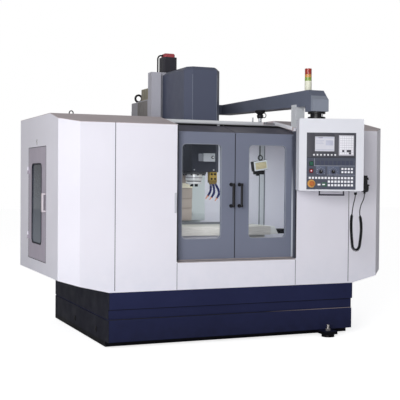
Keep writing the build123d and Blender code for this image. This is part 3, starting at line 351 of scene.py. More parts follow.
# Sill and rail: the sill is a folded stainless strip with the lower track behind it, and the
# rail a drawn aluminium section with a pale cover strip, on which the doors' upper ends slide.
sill_steel = bare_metal("worn stainless sill", (172, 164, 166), 0.40, 40.0, (0.4, 6.0, 6.0), 0.3)
dress(sill_steel, "sill")
grip_look = bare_metal("cast rail fittings", (178, 180, 186), 0.4, 50.0)
rail_alloy = bare_metal("drawn aluminium rail", (206, 206, 212), 0.36, 30.0, (0.3, 8.0, 8.0))
dress(rail_alloy, "top_rail")
strip = plate("rail_cover_strip", (-511, 596.5, 1744), (511, 600, 1768.5), 0.0012)
strip_paint = paint("pale rail strip", (222, 224, 228), mottle=0.04, rough=0.3)
fit(strip, strip_paint, "frame")

# Sliding doors: pressed pans in blue-grey satin paint, darkened as painted shade where they bend
# back over the roof, with a near-black band of painted shadow under the rail and pale at the rail,
# each with a clear polycarbonate window in a rubber lip.
door_paint = paint("blue grey door paint", (118, 123, 141), mottle=0.05, rough=0.42, sheen=0.15)
# Painted shade: the doors darker where they bend back over the roof.
tint_past(door_paint, "Z", 1.640, (90, 89, 100), 0.95, 0.004)
# Painted shadow: a near-black band under the rail.
tint_past(door_paint, "Z", 1.701, (26, 26, 32), 0.95, 0.003)
tint_past(door_paint, "Z", 1.722, (214, 216, 222), 1.0, 0.002)
dress(door_paint, "left_door", "right_door")


def clear_pane(name, tint, gloss, film=None):
    """Flat clear sheet that lets light straight through and mirrors a little of the room.

    A film is a smoked layer on it, graded from foot to top as painted light: its colours at the foot and at
    the top, and its share."""
    made, tree, surface = new_look(name)
    tree.nodes.remove(surface)
    body = node_of(tree, "BsdfTransparent", Color=tint).outputs["BSDF"]
    if film:
        foot_colour, top_colour, share = film
        fade = node_of(tree, "MapRange", Value=reach(tree, "Z"), From_Min=0.75, From_Max=1.38)
        blend = node_of(tree, "MixRGB", Fac=fade.outputs["Result"], Color1=shade(*foot_colour),
                        Color2=shade(*top_colour))
        smoke = node_of(tree, "BsdfDiffuse", Color=blend.outputs["Color"])
        body = node_of(tree, "MixShader", share, body, smoke.outputs["BSDF"]).outputs["Shader"]
    mirror = node_of(tree, "BsdfGlossy", Color=(1, 1, 1, 1), Roughness=0.04)
    facing = node_of(tree, "LayerWeight", Blend=0.12)
    amount = maths(tree, "MULTIPLY_ADD", noise(tree, 5.0, 5.0), gloss, facing.outputs["Fresnel"])
    mix = node_of(tree, "MixShader", amount, body, mirror.outputs["BSDF"])
    feed(tree, tree.nodes["Material Output"], Surface=mix.outputs["Shader"])
    return made


dress(clear_pane("clear window sheet", (0.96, 0.97, 0.975, 1), 0.012), "left_window", "right_window")


def window_lip(name, middle, wide, tall, radius, width, thick, turn=0.0):
    """Lip round a window: a rounded plane, inset, its middle removed, drawn out in depth."""
    bpy.ops.mesh.primitive_plane_add(size=1, location=(0, 0, 0))
    made = bpy.context.object
    made.name = name
    made.scale = (wide, tall, 1)
    bpy.ops.object.transform_apply(location=False, rotation=False, scale=True)
    bpy.ops.object.mode_set(mode="EDIT")
    bpy.ops.mesh.select_all(action="SELECT")
    bpy.ops.mesh.bevel(offset=radius, segments=8, affect="VERTICES")
    bpy.ops.mesh.select_all(action="SELECT")
    bpy.ops.mesh.inset(thickness=width, depth=0)
    bpy.ops.mesh.delete(type="FACE")
    bpy.ops.mesh.select_all(action="SELECT")
    bpy.ops.mesh.extrude_region_move(TRANSFORM_OT_translate={"value": (0, 0, thick)})
    bpy.ops.mesh.select_all(action="SELECT")
    bpy.ops.mesh.normals_make_consistent(inside=False)
    bpy.ops.object.mode_set(mode="OBJECT")
    made.rotation_euler = (math.radians(90), 0, turn)
    made.location = middle
    bpy.ops.object.transform_apply(location=True, rotation=True, scale=True)
    return soften(made, 0.0008)


lip_rubber = soft_black("window lip rubber", (138, 142, 154))
doors = ((-1, "left_door"), (1, "right_door"))
for side, body in doors:
    lip = window_lip(body + "_window_lip", at(side * 286, 67.2, 1176.5), 0.338, 0.745, 0.037, 0.006, 0.0036)
    fit(lip, lip_rubber, body)

# Seals of the doors: a black rubber nose on the left door's meeting edge, brush strips on the
# jambs, pale at the foot as a painted reflection, black strips of painted shadow over the doors,
# a clip on the left door and a cast bracket at the roof's corner.
nose = plate("door_meeting_seal", (-4.2, 66, 652), (3.4, 86, 1634), 0.0015)
fit(nose, soft_black("door seal rubber", (36, 37, 44), rough=0.7), "left_door")
wipers = both_sides("wiper", 498, 510.4, (44, 652), (56, 1628), 0.0015)
# Painted reflection: the wipers pale at the foot, darkening upwards.
wiper_reflection_paint = paint("wiper plastic with painted reflection", (190, 195, 205), mottle=0.08, rough=0.3)
tint_past(wiper_reflection_paint, "Z", 1.05, (86, 90, 104), 1.0, 0.35)
joined("jamb_wipers", wipers, wiper_reflection_paint, "frame")
# Painted shadow: black strips across the doors under the rail.
top_shadow_black = soft_black("painted shadow strip", (12, 12, 15), rough=0.9)
for side, body in doors:
    low, high = sorted((side * 5, side * 556))
    brush = plate(body + "_top_shadow_strip", (low, 296, 1699), (high, 301, 1716), 0.0008)
    fit(brush, top_shadow_black, body)
clip = [plate("clip", (-60, 282, 1700), (-38, 308, 1715), 0.002),
        cap_disc("screw", at(-49, 281, 1709), 0.005, 0.006, (0, 1, 0), 0.0008, 16)]
joined("left_door_top_clip", clip, grip_look, "left_door")
bracket = [plate("bracket", (418, 374, 1737), (511, 396, 1747), 0.002),
           plate("end", (418, 372, 1737), (440, 398, 1756), 0.003)]
joined("roof_corner_bracket", bracket, grip_look, "frame")

# Pulls of the doors: black moulded bars on round feet, bolted through the skin close to the
# meeting edge.
pull_x = 36
pull_black = soft_black("black moulded pull", (24, 24, 28), rough=0.42)
dress(pull_black, "left_handle", "right_handle")
for side, body in doors:
    feet = []
    for z in (1064, 1232):
        feet.append(cap_disc("foot", at(side * pull_x, 61, z), 0.0145, 0.008, (0, 1, 0), 0.002))
        feet.append(cap_disc("end", at(side * pull_x, 15, z), 0.0115, 0.021, (0, 0, 1), 0.003))
    joined(body + "_pull_feet", feet, pull_black, body)

# Side door: a folded leaf in a warmer violet grey with a smoked window, lighter towards its foot
# as painted light, hung on two lift-off hinges at its rear and pulled by a pale moulded grip.
leaf_paint = paint("violet grey leaf paint", (176, 168, 182), mottle=0.05, rough=0.4)
dress(leaf_paint, "side_door")
# Painted light: the side window's film lighter at its foot than at its top.
smoke_and_light_film = ((138, 146, 158), (58, 66, 80), 0.72)
dress(clear_pane("smoked side window", (0.34, 0.40, 0.50, 1), 0.06, smoke_and_light_film), "side_window")
dress(paint("pale moulded grip", (204, 196, 202), mottle=0.03, rough=0.4), "side_handle")
quarter = math.radians(-90)
gasket = window_lip("side_window_gasket", at(-1403.5, 845.5, 1065), 0.347, 0.652, 0.043, 0.012, 0.0045,
                    quarter)
fit(gasket, soft_black("side window gasket", (44, 44, 54)), "side_door")
seam = window_lip("side_door_seam", at(-1403.6, 835, 1065.5), 0.628, 0.915, 0.003, 0.004, 0.0012, quarter)
fit(seam, soft_black("door seam shadow rubber", (74, 70, 78), rough=0.8), "frame")
latch = [plate("latch", (-1407, 828, 1540), (-1403.8, 846, 1584), 0.0012),
         cap_disc("latch", at(-1408.5, 837, 1566), 0.006, 0.005, (1, 0, 0), 0.001)]
joined("side_door_latch_stop", latch, paint("grey latch paint", (164, 162, 164)), "frame")

# Bed, saddle, column and table: castings in grey paint with ground ways, the column paler in its
# lower part, and the table of ground iron with slots planed along it.
casting = paint("grey casting paint", (178, 177, 186), mottle=0.07, rough=0.5, peel=0.14)
dress(casting, "bed", "saddle")
column_paint = paint("column paint", (182, 182, 192), mottle=0.05, rough=0.45)
tint_past(column_paint, "Z", 1.66, (206, 212, 214), 1.0, -0.004)
dress(column_paint, "column")
table_iron = bare_metal("ground table iron", (214, 210, 204), 0.46, 26.0, (0.4, 5.0, 5.0), 0.15)
dress(table_iron, "table")

# Head and its cover: a casting with a folded sheet cover over its drive, both in slate paint, with
# a painted highlight down each side of the cover's front and painted shade past the head's left
# chamfer.
slate = paint("slate head paint", (84, 89, 108), mottle=0.05, rough=0.36, peel=0.05)
dress(slate, "head_cover")
head_paint = paint("dark head paint", (52, 54, 63), mottle=0.05, rough=0.5, sheen=0.06)
# Painted shade: the head darker past its left chamfer.
tint_past(head_paint, "X", at(-111, 0, 0).x, (36, 37, 44), 0.9, -0.002)
dress(head_paint, "head")
# Painted highlights: pale strips down the edges of the cover's front.
edges = both_sides("edge", 110.4, 113.6, (688.9, 1690), (690.6, 2160), hairline)
joined("head_cover_edge_highlights", edges, paint("painted cover edge highlight", (132, 138, 152)), "head")

# Spindle: hardened and ground steel with a taper in its mouth. It turns in the head about an
# upright axis.
spindle_y = 916
spindle_axis = at(0, spindle_y, 0)
ground = bare_metal("ground spindle steel", (232, 233, 236), 0.34, 30.0, (2.0, 2.0, 12.0), 0.35)
dress(ground, "spindle")

# Nose of the spindle housing: a ground sleeve with a groove, held to the head by a flange with
# cap screws round its rim. The spindle's own nose turns below it, with a drive key on each side.


def turned_piece(name, profile, centre, steps=64):
    """Outline of radius and height in millimetres, spun about an upright axis."""
    bpy.ops.mesh.primitive_plane_add(size=0.01, location=(0, 0, 0))
    made = bpy.context.object
    made.name = name
    bpy.ops.object.mode_set(mode="EDIT")
    bpy.ops.mesh.select_all(action="SELECT")
    bpy.ops.mesh.delete(type="VERT")
    bpy.ops.object.mode_set(mode="OBJECT")
    corners = [(radius / 1000, 0, height / 1000) for radius, height in profile]
    made.data.from_pydata(corners, [(i, i + 1) for i in range(len(corners) - 1)], [])
    bpy.ops.object.mode_set(mode="EDIT")
    bpy.ops.mesh.select_all(action="SELECT")
    bpy.ops.mesh.spin(steps=steps, angle=2 * math.pi, center=(0, 0, 0), axis=(0, 0, 1))
    bpy.ops.mesh.select_all(action="SELECT")
    bpy.ops.mesh.remove_doubles(threshold=0.00001)
    bpy.ops.mesh.normals_make_consistent(inside=False)
    bpy.ops.object.mode_set(mode="OBJECT")
    made.location = centre
    bpy.ops.object.transform_apply(location=True, rotation=True, scale=True)
    bpy.ops.object.shade_smooth_by_angle(angle=math.radians(35))
    return made


forged_black = bare_metal("blackened screws", (58, 58, 62), 0.45, 60.0)
motor_dark = soft_black("black moulded cover", (30, 30, 34), rough=0.5)
bright = bare_metal("bright nose steel", (246, 246, 248), 0.15, 34.0, (2.0, 2.0, 9.0), 0.2)
sleeve = turned_piece("nose_sleeve", [
    (45.2, 1259), (68, 1259), (74.5, 1266), (74.5, 1283), (72.8, 1284),
    (72.8, 1287), (74.5, 1288), (74.5, 1314), (45.2, 1314), (45.2, 1259)], spindle_axis)
fit(sleeve, bright, "head")
mouth = turned_piece("nose_ring", [
    (45.2, 1251.3), (60, 1251.3), (67, 1259), (45.2, 1259), (45.2, 1251.3)], spindle_axis)
fit(mouth, motor_dark, "head")
face = turned_piece("spindle_nose", [
    (36, 1251.2), (36, 1230), (62, 1230), (70, 1235), (74, 1240),
    (74, 1251.2), (36, 1251.2)], spindle_axis)
fit(face, bright, "spindle")
keys = [plate("key", (-13, y, 1208), (13, y + 14, 1231), 0.001) for y in (856, 962)]
joined("spindle_drive_keys", keys, forged_black, "spindle")
flange = turned_piece("nose_flange", [
    (74, 1313), (102, 1315), (106, 1319), (106, 1334), (45.2, 1334),
    (45.2, 1313), (74, 1313)], spindle_axis)
flange_iron = bare_metal("shaded flange iron", (92, 94, 100), 0.4, 40.0, metal=0.3)
fit(flange, flange_iron, "head")
screw_count, screw_circle = 10, 91
screws = []
for index in range(screw_count):
    angle = 2 * math.pi * (index + 0.5) / screw_count
    spot = at(screw_circle * math.cos(angle), spindle_y + screw_circle * math.sin(angle), 1310)
    screws.append(cap_disc("screw", spot, 0.0085, 0.010, (0, 0, 1), 0.001, 16))
joined("nose_screws", screws, forged_black, "head")

# Fittings of the head's front: a pale and a darker sheet plate side by side, a black filler cap
# with a bright knob, and a screw near each corner.
cover_plate = plate("head_front_plate", (-8, 687.5, 1424), (100, 693.2, 1494), 0.0012)
fit(cover_plate, paint("pale plate paint", (176, 178, 184)), "head")
dark_plate = plate("head_front_plate_dark", (-52, 688.5, 1426), (-10, 693.2, 1490), 0.0012)
fit(dark_plate, paint("mid grey plate paint", (128, 130, 138)), "head")
filler = [cap_disc("cap", at(78, 684, 1460), 0.013, 0.010, (0, 1, 0), 0.0015),
          cap_disc("cap", at(78, 681, 1460), 0.0095, 0.006, (0, 1, 0), 0.0015)]
joined("head_filler_cap", filler, motor_dark, "head")
knob = cap_disc("head_filler_knob", at(78, 677.5, 1460), 0.0075, 0.005, (0, 1, 0), 0.0012)
fit(knob, bright, "head")
corners = [(x, z) for x in (-90, 90) for z in (1352, 1668)]
screws = [cap_disc("screw", at(x, 692, z), 0.005, 0.004, (0, 1, 0), 0.0008, 16) for x, z in corners]
joined("head_front_screws", screws, ground, "head")

# Covers of the upright ways: bent beige sheets that slide over each other. The lower ones are
# screwed to the column, the upper one hangs from the head with a paler lip across it, and an
# apron sheet under the column's overhang stops short of the table's strip.
way_cover = paint("beige way cover", (190, 177, 169), mottle=0.06, rough=0.45)
lower = [plate("sheet", (-133, 1286, 893), (133, 1289.5, 1016), 0.001),
         plate("sheet", (-133, 1281.5, 1010), (133, 1286.5, 1130), 0.001),
         plate("edge", (-133, 1279.5, 1010), (133, 1286, 1017), 0.001)]
joined("way_cover_lower", lower, way_cover, "frame")
upper = plate("way_cover_upper", (-133, 1275, 1096), (133, 1278.5, 1334), 0.001)
fit(upper, way_cover, "head")
apron = plate("column_apron", (-280, 1326, 893), (280, 1329.5, 956), 0.001)
fit(apron, paint("column apron paint", (196, 202, 204)), "frame")
lip = plate("way_cover_lip", (-130, 1266, 1192), (130, 1277.5, 1237), 0.002)
fit(lip, paint("cream lip paint", (255, 246, 224), mottle=0.03), "head")

# Rear wall of the chamber: a folded sheet stiffener in pale grey paint, screwed to the right rear
# sheet, with a shaded fold down each side.
stiffener = plate("rear_wall_stiffener", (910, 1462, 520), (968, 1477, 1740), 0.002)
fit(stiffener, paint("stiffener paint", (214, 217, 222)), "frame")
folds = [plate("fold", (x, 1460.8, 520), (x + 9, 1463, 1740), 0.0006) for x in (908, 961)]
joined("stiffener_folds", folds, paint("shaded fold paint", (112, 116, 124)), "frame")

# Edges of the table: a low grey strip along its rear, and a bent sheet that slopes down from its
# right end and throws the chips into the tray.
strip = plate("table_rear_strip", (-639, 1135, 864.5), (639, 1140.8, 885), 0.001)
fit(strip, paint("grey strip paint", (120, 122, 128)), "table")
chute = start_box("table_end_chute", at(639.5, 700, 792.5), at(686, 1130, 863))
outer_side, chute_flare = at(660, 0, 0).x, 0.038
for corner in chute.data.vertices:
    if corner.co.z < 0.8 and corner.co.x > outer_side:
        corner.co.x += chute_flare
fit(soften(chute, 0.0015), paint("white chute paint", (226, 226, 224)), "table")

# Guard at the table's right end: a black moulded box, as over the bearing of the table's screw,
# fixed to the table and moving with it.
guard = plate("table_end_guard", (700, 770, 793), (846, 870, 833), 0.004)
fit(guard, motor_dark, "table")

# Coolant block and hoses: a machined brass manifold on the head with hexagon nuts and plugs, and
# three hoses of jointed plastic beads that end in orange nozzles.
brass = bare_metal("machined brass", (198, 168, 88), 0.36, 70.0, metal=0.45)
tint_past(brass, "Z", 1.272, (112, 94, 54), 0.8, -0.012)
dress(brass, "coolant_block")
outlets = ((106, 800), (126, 796), (146, 800))
nuts = [cap_disc("nut", at(x, y, 1237), 0.0125, 0.014, (0, 0, 1), 0.0012, 6) for x, y in outlets]
joined("coolant_hose_nuts", nuts, brass, "head")
corners = [(x, z) for x in (108, 140) for z in (1276, 1316)]
plugs = [cap_disc("plug", at(x, 776, z), 0.0105, 0.006, (0, 1, 0), 0.001, 6) for x, z in corners]
joined("coolant_block_plugs", plugs, forged_black, "head")
hose_blue = paint("blue hose plastic", (30, 35, 88), mottle=0.10, rough=0.45)


def smooth_line(name, points):
    """Curve of one spline with the points as its control points."""
    line = bpy.data.curves.new(name, "CURVE")
    line.dimensions = "3D"
    spline = line.splines.new("NURBS")
    spline.points.add(len(points) - 1)
    for knot, point in zip(spline.points, points):
        knot.co = (*point, 1)
    spline.order_u = 3
    spline.use_endpoint_u = True
    line.resolution_u = 12
    made = bpy.data.objects.new(name, line)
    bpy.context.scene.collection.objects.link(made)
    return made


def traced(line):
    """Points along a curve that has no thickness yet."""
    bpy.context.view_layer.update()
    mesh = bpy.data.meshes.new_from_object(line.evaluated_get(bpy.context.evaluated_depsgraph_get()))
    spots = [corner.co.copy() for corner in mesh.vertices]
    bpy.data.meshes.remove(mesh)
    return spots


def set_along(piece, before, spot):
    """Set a turned piece at a point, its axis in the direction from the point before."""
    turn = (spot - before).normalized().to_track_quat("Z", "Y").to_matrix().to_4x4()
    piece.data.transform(Matrix.Translation(spot) @ turn)
    return piece


def jointed_hose(name, points, radius):
    """Ball-jointed hose: one moulded bead repeated along a smooth line, and the line's last points."""
    line = smooth_line(name + "_line", points)
    spots = traced(line)
    bpy.data.objects.remove(line)
    joint = [(0, -6.2), (radius * 0.80, -6.2), (radius, -2), (radius, 3), (radius * 0.72, 7.5), (0, 7.5)]
    joints = []
    walked = 0.0
    for before, after in zip(spots, spots[1:]):
        walked += (after - before).length
        if walked >= radius * 1.25 / 1000:
            walked = 0.0
            joints.append(set_along(turned_piece("joint", joint, (0, 0, 0), 20), before, after))
    return gather(name, joints), spots[-2], spots[-1]


nozzle = [(0, -4), (8.5, -4), (8.8, 4), (5.2, 16), (4, 36), (2.6, 36), (2.6, 30), (0, 30)]
tips = []
for name, depth, points in (
    ("coolant_hose_left", 800, ((106, 1246), (112, 1205), (110, 1175), (98, 1148), (84, 1130))),
    ("coolant_hose_middle", 796, ((126, 1246), (138, 1205), (143, 1170), (137, 1142), (120, 1122))),
    ("coolant_hose_right", 800, ((146, 1246), (172, 1205), (190, 1168), (188, 1136), (172, 1114))),
):
    hose, before, last = jointed_hose(name, [at(x, depth, z) for x, z in points], 10.5)
    fit(hose, hose_blue, "head")
    if name == "coolant_hose_left":
        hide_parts("coolant_hoses")
    tips.append(set_along(turned_piece("tip", nozzle, (0, 0, 0), 24), before, last))
tip_orange = paint("orange nozzle plastic", (206, 140, 112), mottle=0.06, rough=0.4)
joined("coolant_nozzle_tips", tips, tip_orange, "head")

# Motor of the vertical axis: an enamelled black housing, a red moulded cap over its encoder and a
# rubber lead.
dress(soft_black("black motor enamel", (54, 53, 60), rough=0.4), "z_motor")
dress(paint("red encoder cap", (172, 78, 84), mottle=0.10, rough=0.4), "z_motor_cap")
lead_black = soft_black("black lead sheath", (16, 16, 19), rough=0.55)
dress(lead_black, "z_motor_lead")

# Boxes on the column: a beige junction box, and behind the column the grey switch cabinet, its
# door with pressed louvres and with black locks and a lever.
dress(paint("olive beige junction box paint", (150, 144, 126), mottle=0.10), "column_box")
cabinet_grey = paint("cabinet grey paint", (152, 151, 158), mottle=0.05)
dress(cabinet_grey, "cabinet", "cabinet_door")
locks = [plate("plate", (222, 1823.5, 1150), (250, 1828, 1300), 0.002),
         plate("lever", (229, 1827, 1165), (243, 1830.5, 1285), 0.0015)]
locks += [cap_disc("lock", at(236, 1827, z), 0.014, 0.008, (0, 1, 0), 0.0015) for z in (760, 1720)]
joined("cabinet_door_locks", locks, motor_dark, "cabinet_door")
slats = [plate("slat", (-150, 1823.5, z), (150, 1829, z + 12), 0.003) for z in range(620, 788, 24)]
joined("cabinet_door_louvres", slats, cabinet_grey, "cabinet_door")

# Side of the column's shoulder: a ribbed sheet cover over the cables in dull dark grey, and olive
# lids on the junction box above it, all screwed on.
shoulder = [plate("cover", (-282, 1356, 1772), (-280, 1632, 1984), 0.0006)]
shoulder += [plate("rib", (-286, y, 1780), (-281.5, y + 9, 1976), 0.0012) for y in range(1372, 1636, 44)]
shoulder_paint = paint("dull shoulder paint", (122, 119, 118), mottle=0.2)
joined("shoulder_cover", shoulder, shoulder_paint, "frame")
lids = [plate("lid", (-283, 1352, 2000), (-280, 1430, 2084), 0.001),
        plate("lid", (-283, 1438, 2000), (-280, 1518, 2084), 0.001),
        plate("lid", (-270, 1352, 2091.5), (-205, 1518, 2094), 0.001)]
lid_paint = paint("olive lid paint", (132, 128, 112), mottle=0.15)
joined("column_box_lids", lids, lid_paint, "frame")

# Lifting eyes: steel rings, forged and blackened, screwed into the roof and the top of the
# cabinet.
dress(bare_metal("blackened forged steel", (60, 58, 60), 0.5, 50.0), "lifting_eyes")

# Arm and post: the arm is a welded box in slate paint, paler at its front end, and the post that
# carries it is a pale bent plate.
arm_paint = paint("slate arm paint", (101, 107, 124), mottle=0.05, rough=0.4)
tint_past(arm_paint, "Y", at(0, -196, 0).y, (138, 144, 158), 1.0, -0.004)
dress(arm_paint, "arm")
dress(paint("pale post paint", (202, 205, 210), mottle=0.04), "arm_post")

# Signal tower: a moulded cream foot and three ribbed lenses, green, amber and red, clipped on each
# other.
dress(paint("cream tower plastic", (234, 234, 216), mottle=0.03, rough=0.35), "tower_base")


def lens_plastic(name, colour):
    """Tinted moulded plastic with a fine speckle."""
    made, tree, surface = new_look(name)
    colour = shade(*colour)
    dark = [part * 0.8 for part in colour[:3]]
    feed(tree, surface, Roughness=0.22, Coat_Weight=0.4,
         Base_Color=tones(tree, noise(tree, 90.0, 3.0), dark, colour))
    return made


lens_radius = 27.5
level = 2067
for name, height, colour in (
    ("green", 28, (150, 178, 84)),
    ("amber", 24, (222, 164, 88)),
    ("red", 47, (176, 58, 46)),
):
    profile = [(0, 0), (lens_radius - 1.2, 0)]
    ribs = int(height / 4.6)
    for rib in range(ribs):
        foot = height * rib / ribs
        profile += [(lens_radius, foot + 0.8), (lens_radius, foot + 3.6),
                    (lens_radius - 0.9, foot + height / ribs)]
    if name == "red":
        profile.append((lens_radius - 4, height))
    profile.append((0, height))
    lens = turned_piece("tower_lens_" + name, profile, at(595, -30, level), 48)
    fit(lens, lens_plastic(name + " lens", colour), "frame")
    if name == "red":
        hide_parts("tower_lenses")
    level += height

# Bell on the rail: a black plastic cup that guides the lamp's rod through the shelf, turned,
# with a hook ring at its side.


def wire_ring(name, centre, wire, steps):
    """Closed ring of round wire that faces the front."""
    bpy.ops.mesh.primitive_torus_add(major_radius=0.020, minor_radius=wire, major_segments=steps,
                                     minor_segments=10, rotation=(math.radians(90), 0, 0), location=centre)
    made = bpy.context.object
    made.name = name
    bpy.ops.object.transform_apply(location=True, rotation=True, scale=True)
    bpy.ops.object.shade_smooth()
    return made


bell_axis = at(490, 616, 0)
bell_black = soft_black("black bell plastic", (24, 24, 28), rough=0.45)
cup = turned_piece("bell", [
    (0, 1871), (41, 1871), (46, 1866), (44, 1857), (39, 1848), (26, 1840),
    (22, 1835), (26, 1831), (28, 1824), (27, 1812), (22, 1802), (0, 1802)], bell_axis, 40)
bell = gather("lamp_bell", [cup, wire_ring("hook", at(527, 616, 1829), 0.0036, 32)])
fit(bell, bell_black, "frame")
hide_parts("lamp_hanger")
stem = turned_piece("lamp_bell_stem", [
    (0, 1803), (13.5, 1803), (13.5, 1772), (17, 1769.5), (0, 1769.5)], bell_axis, 32)
fit(stem, grip_look, "frame")
stud = turned_piece("cable_stud", [
    (0, 1806), (5, 1806), (6, 1802), (6, 1774), (9, 1766.5), (0, 1766.5)],
    at(418, 612, 0), 20)
fit(stud, grip_look, "frame")

# Work lamp: a cast case with a bright frame and a frosted face behind louvres, tilted on a rod
# that comes down from the shelf, with a black terminal box under it.
lamp_middle = at(489, 618, 1394)


def tilted(piece):
    """Tilt a piece of the lamp about the lamp's middle."""
    return turn_about(piece, lamp_middle, math.radians(-8.6), "Y")


case = [plate("case", (422, 592, 1351), (556, 648, 1437), 0.004)]
case += [plate("fin", (x, 646, 1360), (x + 6, 662, 1428), 0.0015) for x in range(432, 558, 18)]
case = tilted(gather("work_lamp_case", case))
fit(case, soft_black("black lamp case", (36, 36, 40), rough=0.5), "frame")
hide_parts("work_lamp")
bezel = tilted(window_lip("work_lamp_bezel", at(489, 592, 1394), 0.128, 0.080, 0.007, 0.011, 0.009))
bezel_paint = paint("bright lamp bezel", (226, 228, 232), mottle=0.04, rough=0.3)
fit(bezel, bezel_paint, "frame")
lamp_face = paint("frosted lamp glass", (246, 232, 188), mottle=0.05, rough=0.25)
face = tilted(plate("work_lamp_face", (430, 588, 1359), (548, 593, 1429), 0.0008))
fit(face, lamp_face, "frame")
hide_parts("lamp_glass")
heights = [1370 + 11.5 * step for step in range(5)]
bars = [plate("bar", (430, 585.5, z), (548, 588.4, z + 2), hairline) for z in heights]
fit(tilted(gather("work_lamp_louvres", bars)),
    paint("grey louvre paint", (136, 132, 122)), "frame")
foot = [plate("block", (440, 598, 1318), (530, 644, 1352), 0.004),
        turned_piece("gland", [(0, 1306), (14, 1306), (16, 1309), (16, 1320), (0, 1320)],
                     at(474, 620, 0), 24)]
joined("work_lamp_terminal_box", foot, bell_black, "frame")
rod = turned_piece("work_lamp_rod", [(0, 1480), (4, 1480), (4, 1691.5), (0, 1691.5)], at(496, 620, 0), 24)
fit(rod, bell_black, "frame")
shackle = wire_ring("work_lamp_ring", at(498, 620, 1462), 0.0050, 36)
fit(shackle, bell_black, "frame")

# Swivel: a black moulded joint between two flanges under the arm, with a pale sleeve beside its
# waist that is a painted highlight.
dress(soft_black("black swivel plastic", (22, 22, 26), rough=0.36), "swivel")
# Painted highlight: a pale sleeve beside the swivel's waist.
sleeve = turned_piece("swivel_highlight_sleeve", [(0, 1771), (4.5, 1771), (4.5, 1796.5), (0, 1796.5)],
                      at(622.5, -206.6, 0), 20)
fit(sleeve, paint("pale sleeve as painted highlight", (224, 224, 228)), "frame")

# Control box: a folded white case, its operator panel let in flush, everything on it measured
# from the swivel's axis and turned with the box.
swivel_turn = math.radians(-20)
swivel_at = at(603, -155, 0)
panel_left, panel_face, panel_top = 88, 75, 1645
box_white = paint("control box white", (224, 225, 233), mottle=0.02, rough=0.4, peel=0.04)
dress(box_white, "control_box")


def on_box(x, y, z):
    """Point given in metres from the swivel axis, facing the panel."""
    return swivel_at + Matrix.Rotation(swivel_turn, 4, "Z") @ Vector((x, y, z))


def to_box(piece):
    """Carry a piece modelled about the swivel axis to the box's place and turn."""
    piece.data.transform(Matrix.Translation(swivel_at) @ Matrix.Rotation(swivel_turn, 4, "Z"))
    return piece


def on_panel(name, x0, x1, down0, down1, proud, edge):
    """Low plate on the panel, in millimetres from the panel's upper left corner."""
    low = Vector((x0 - panel_left, -panel_face - proud, panel_top - down1)) / 1000
    high = Vector((x1 - panel_left, 0.3 - panel_face, panel_top - down0)) / 1000
    return to_box(soften(start_box(name, low, high), edge))


def panel_piece(name, material, slot, proud, *spots, edge=0.0002):
    """Low plates on the panel, joined into one piece of the control box."""
    plates = [on_panel(name, *spot, proud, edge) for spot in spots]
    return joined(name, plates, material, "control_box")


def panel_ring(name, x, down, profile, steps=32):
    """Turned ring or disc on the panel, its profile given as radius and height."""
    made = turned_piece(name, profile, (0, 0, 0), steps)
    spot = Vector((x - panel_left, -panel_face, panel_top - down)) / 1000
    made.data.transform(Matrix.Translation(spot) @ Matrix.Rotation(math.radians(90), 4, "X"))
    return to_box(made)


# Operator panel: a printed foil over sheet, charcoal round the screen and slate below it, with
# a dark joint between them and fine pale frame lines.
dress(paint("slate panel foil", (76, 80, 94), mottle=0.05, rough=0.5), "operator_panel")
charcoal = paint("charcoal panel foil", (74, 74, 82), mottle=0.05, rough=0.5)
panel_piece("panel_upper_foil", charcoal, "grey_panel", 0.25,
            (1.5, 64, 1.5, 192), (219, 388.5, 1.5, 192), (64, 219, 1.5, 30), (64, 219, 147, 192))
panel_piece("panel_joint", soft_black("dark panel joint", (38, 38, 44)), "grey_panel", 0.3,
            (1.5, 388.5, 193, 197))
panel_piece("panel_frame_lines", paint("pale panel print", (160, 164, 178)), "white_key", 0.3,
            (60, 382, 258.5, 261.5), (162, 382, 330, 333), (60, 63, 203, 261))
panel_piece("dial_fields", paint("blue grey dial print", (92, 99, 120)), "grey_panel", 0.25,
            (76, 148, 262, 325), (165, 260, 262, 325))

# Screen: glass let into the panel in a dark moulded frame, lit pale, with faint blocks of data
# raised on it by a hair.
panel_piece("screen_frame", soft_black("screen frame", (72, 72, 80)), "grey_panel", 0.8,
            (61, 222, 27, 31), (61, 222, 146, 150), (61, 65, 27, 150), (218, 222, 27, 150))
dress(paint("lit screen glass", (214, 214, 224), mottle=0.04, rough=0.2), "screen")
panel_piece("screen_blocks", paint("tinted screen blocks", (188, 190, 208)), "screen_glass", 0.12,
            (69, 214, 36, 44), (72, 138, 60, 64), (72, 126, 72, 76), (72, 132, 84, 88), (150, 208, 60, 100),
            (69, 214, 132, 139))
panel_piece("screen_mark", paint("dark screen mark", (128, 122, 150)), "screen_glass", 0.2,
            (92, 126, 37.5, 43))

# Keys: white moulded caps, those of the upper strip tinted blue grey, the letter keys on a white
# field with three dark ones among them.
strip_middle, strip_half = 1.408, 0.0185
key_white = paint("white key caps", (238, 238, 244), mottle=0.02, rough=0.4)
tree = key_white.node_tree
in_strip = maths(tree, "COMPARE", reach(tree, "Z"), strip_middle, strip_half)
blend_in(key_white, in_strip, (66, 70, 90))
dress(key_white, "keys")
letter_white = paint("white letter field", (204, 202, 212), mottle=0.02)
panel_piece("letter_field", letter_white, "white_key", 0.6, (254, 373, 20, 178))
panel_piece("dark_keys", soft_black("dark key caps", (62, 62, 70)), "black_plastic", 4.8,
            (280.5, 295.5, 135.5, 150.5), (316.5, 349.5, 135.5, 150.5), (334.5, 349.5, 153.5, 168.5),
            edge=0.0008)
panel_piece("panel_white_key", key_white, "white_key", 4, (88, 111, 401, 414), edge=0.001)
green_field = paint("green key field", (58, 96, 78), mottle=0.05)
panel_piece("panel_green_key", green_field, "start_green", 1.2, (122, 160, 390, 422), edge=0.0006)
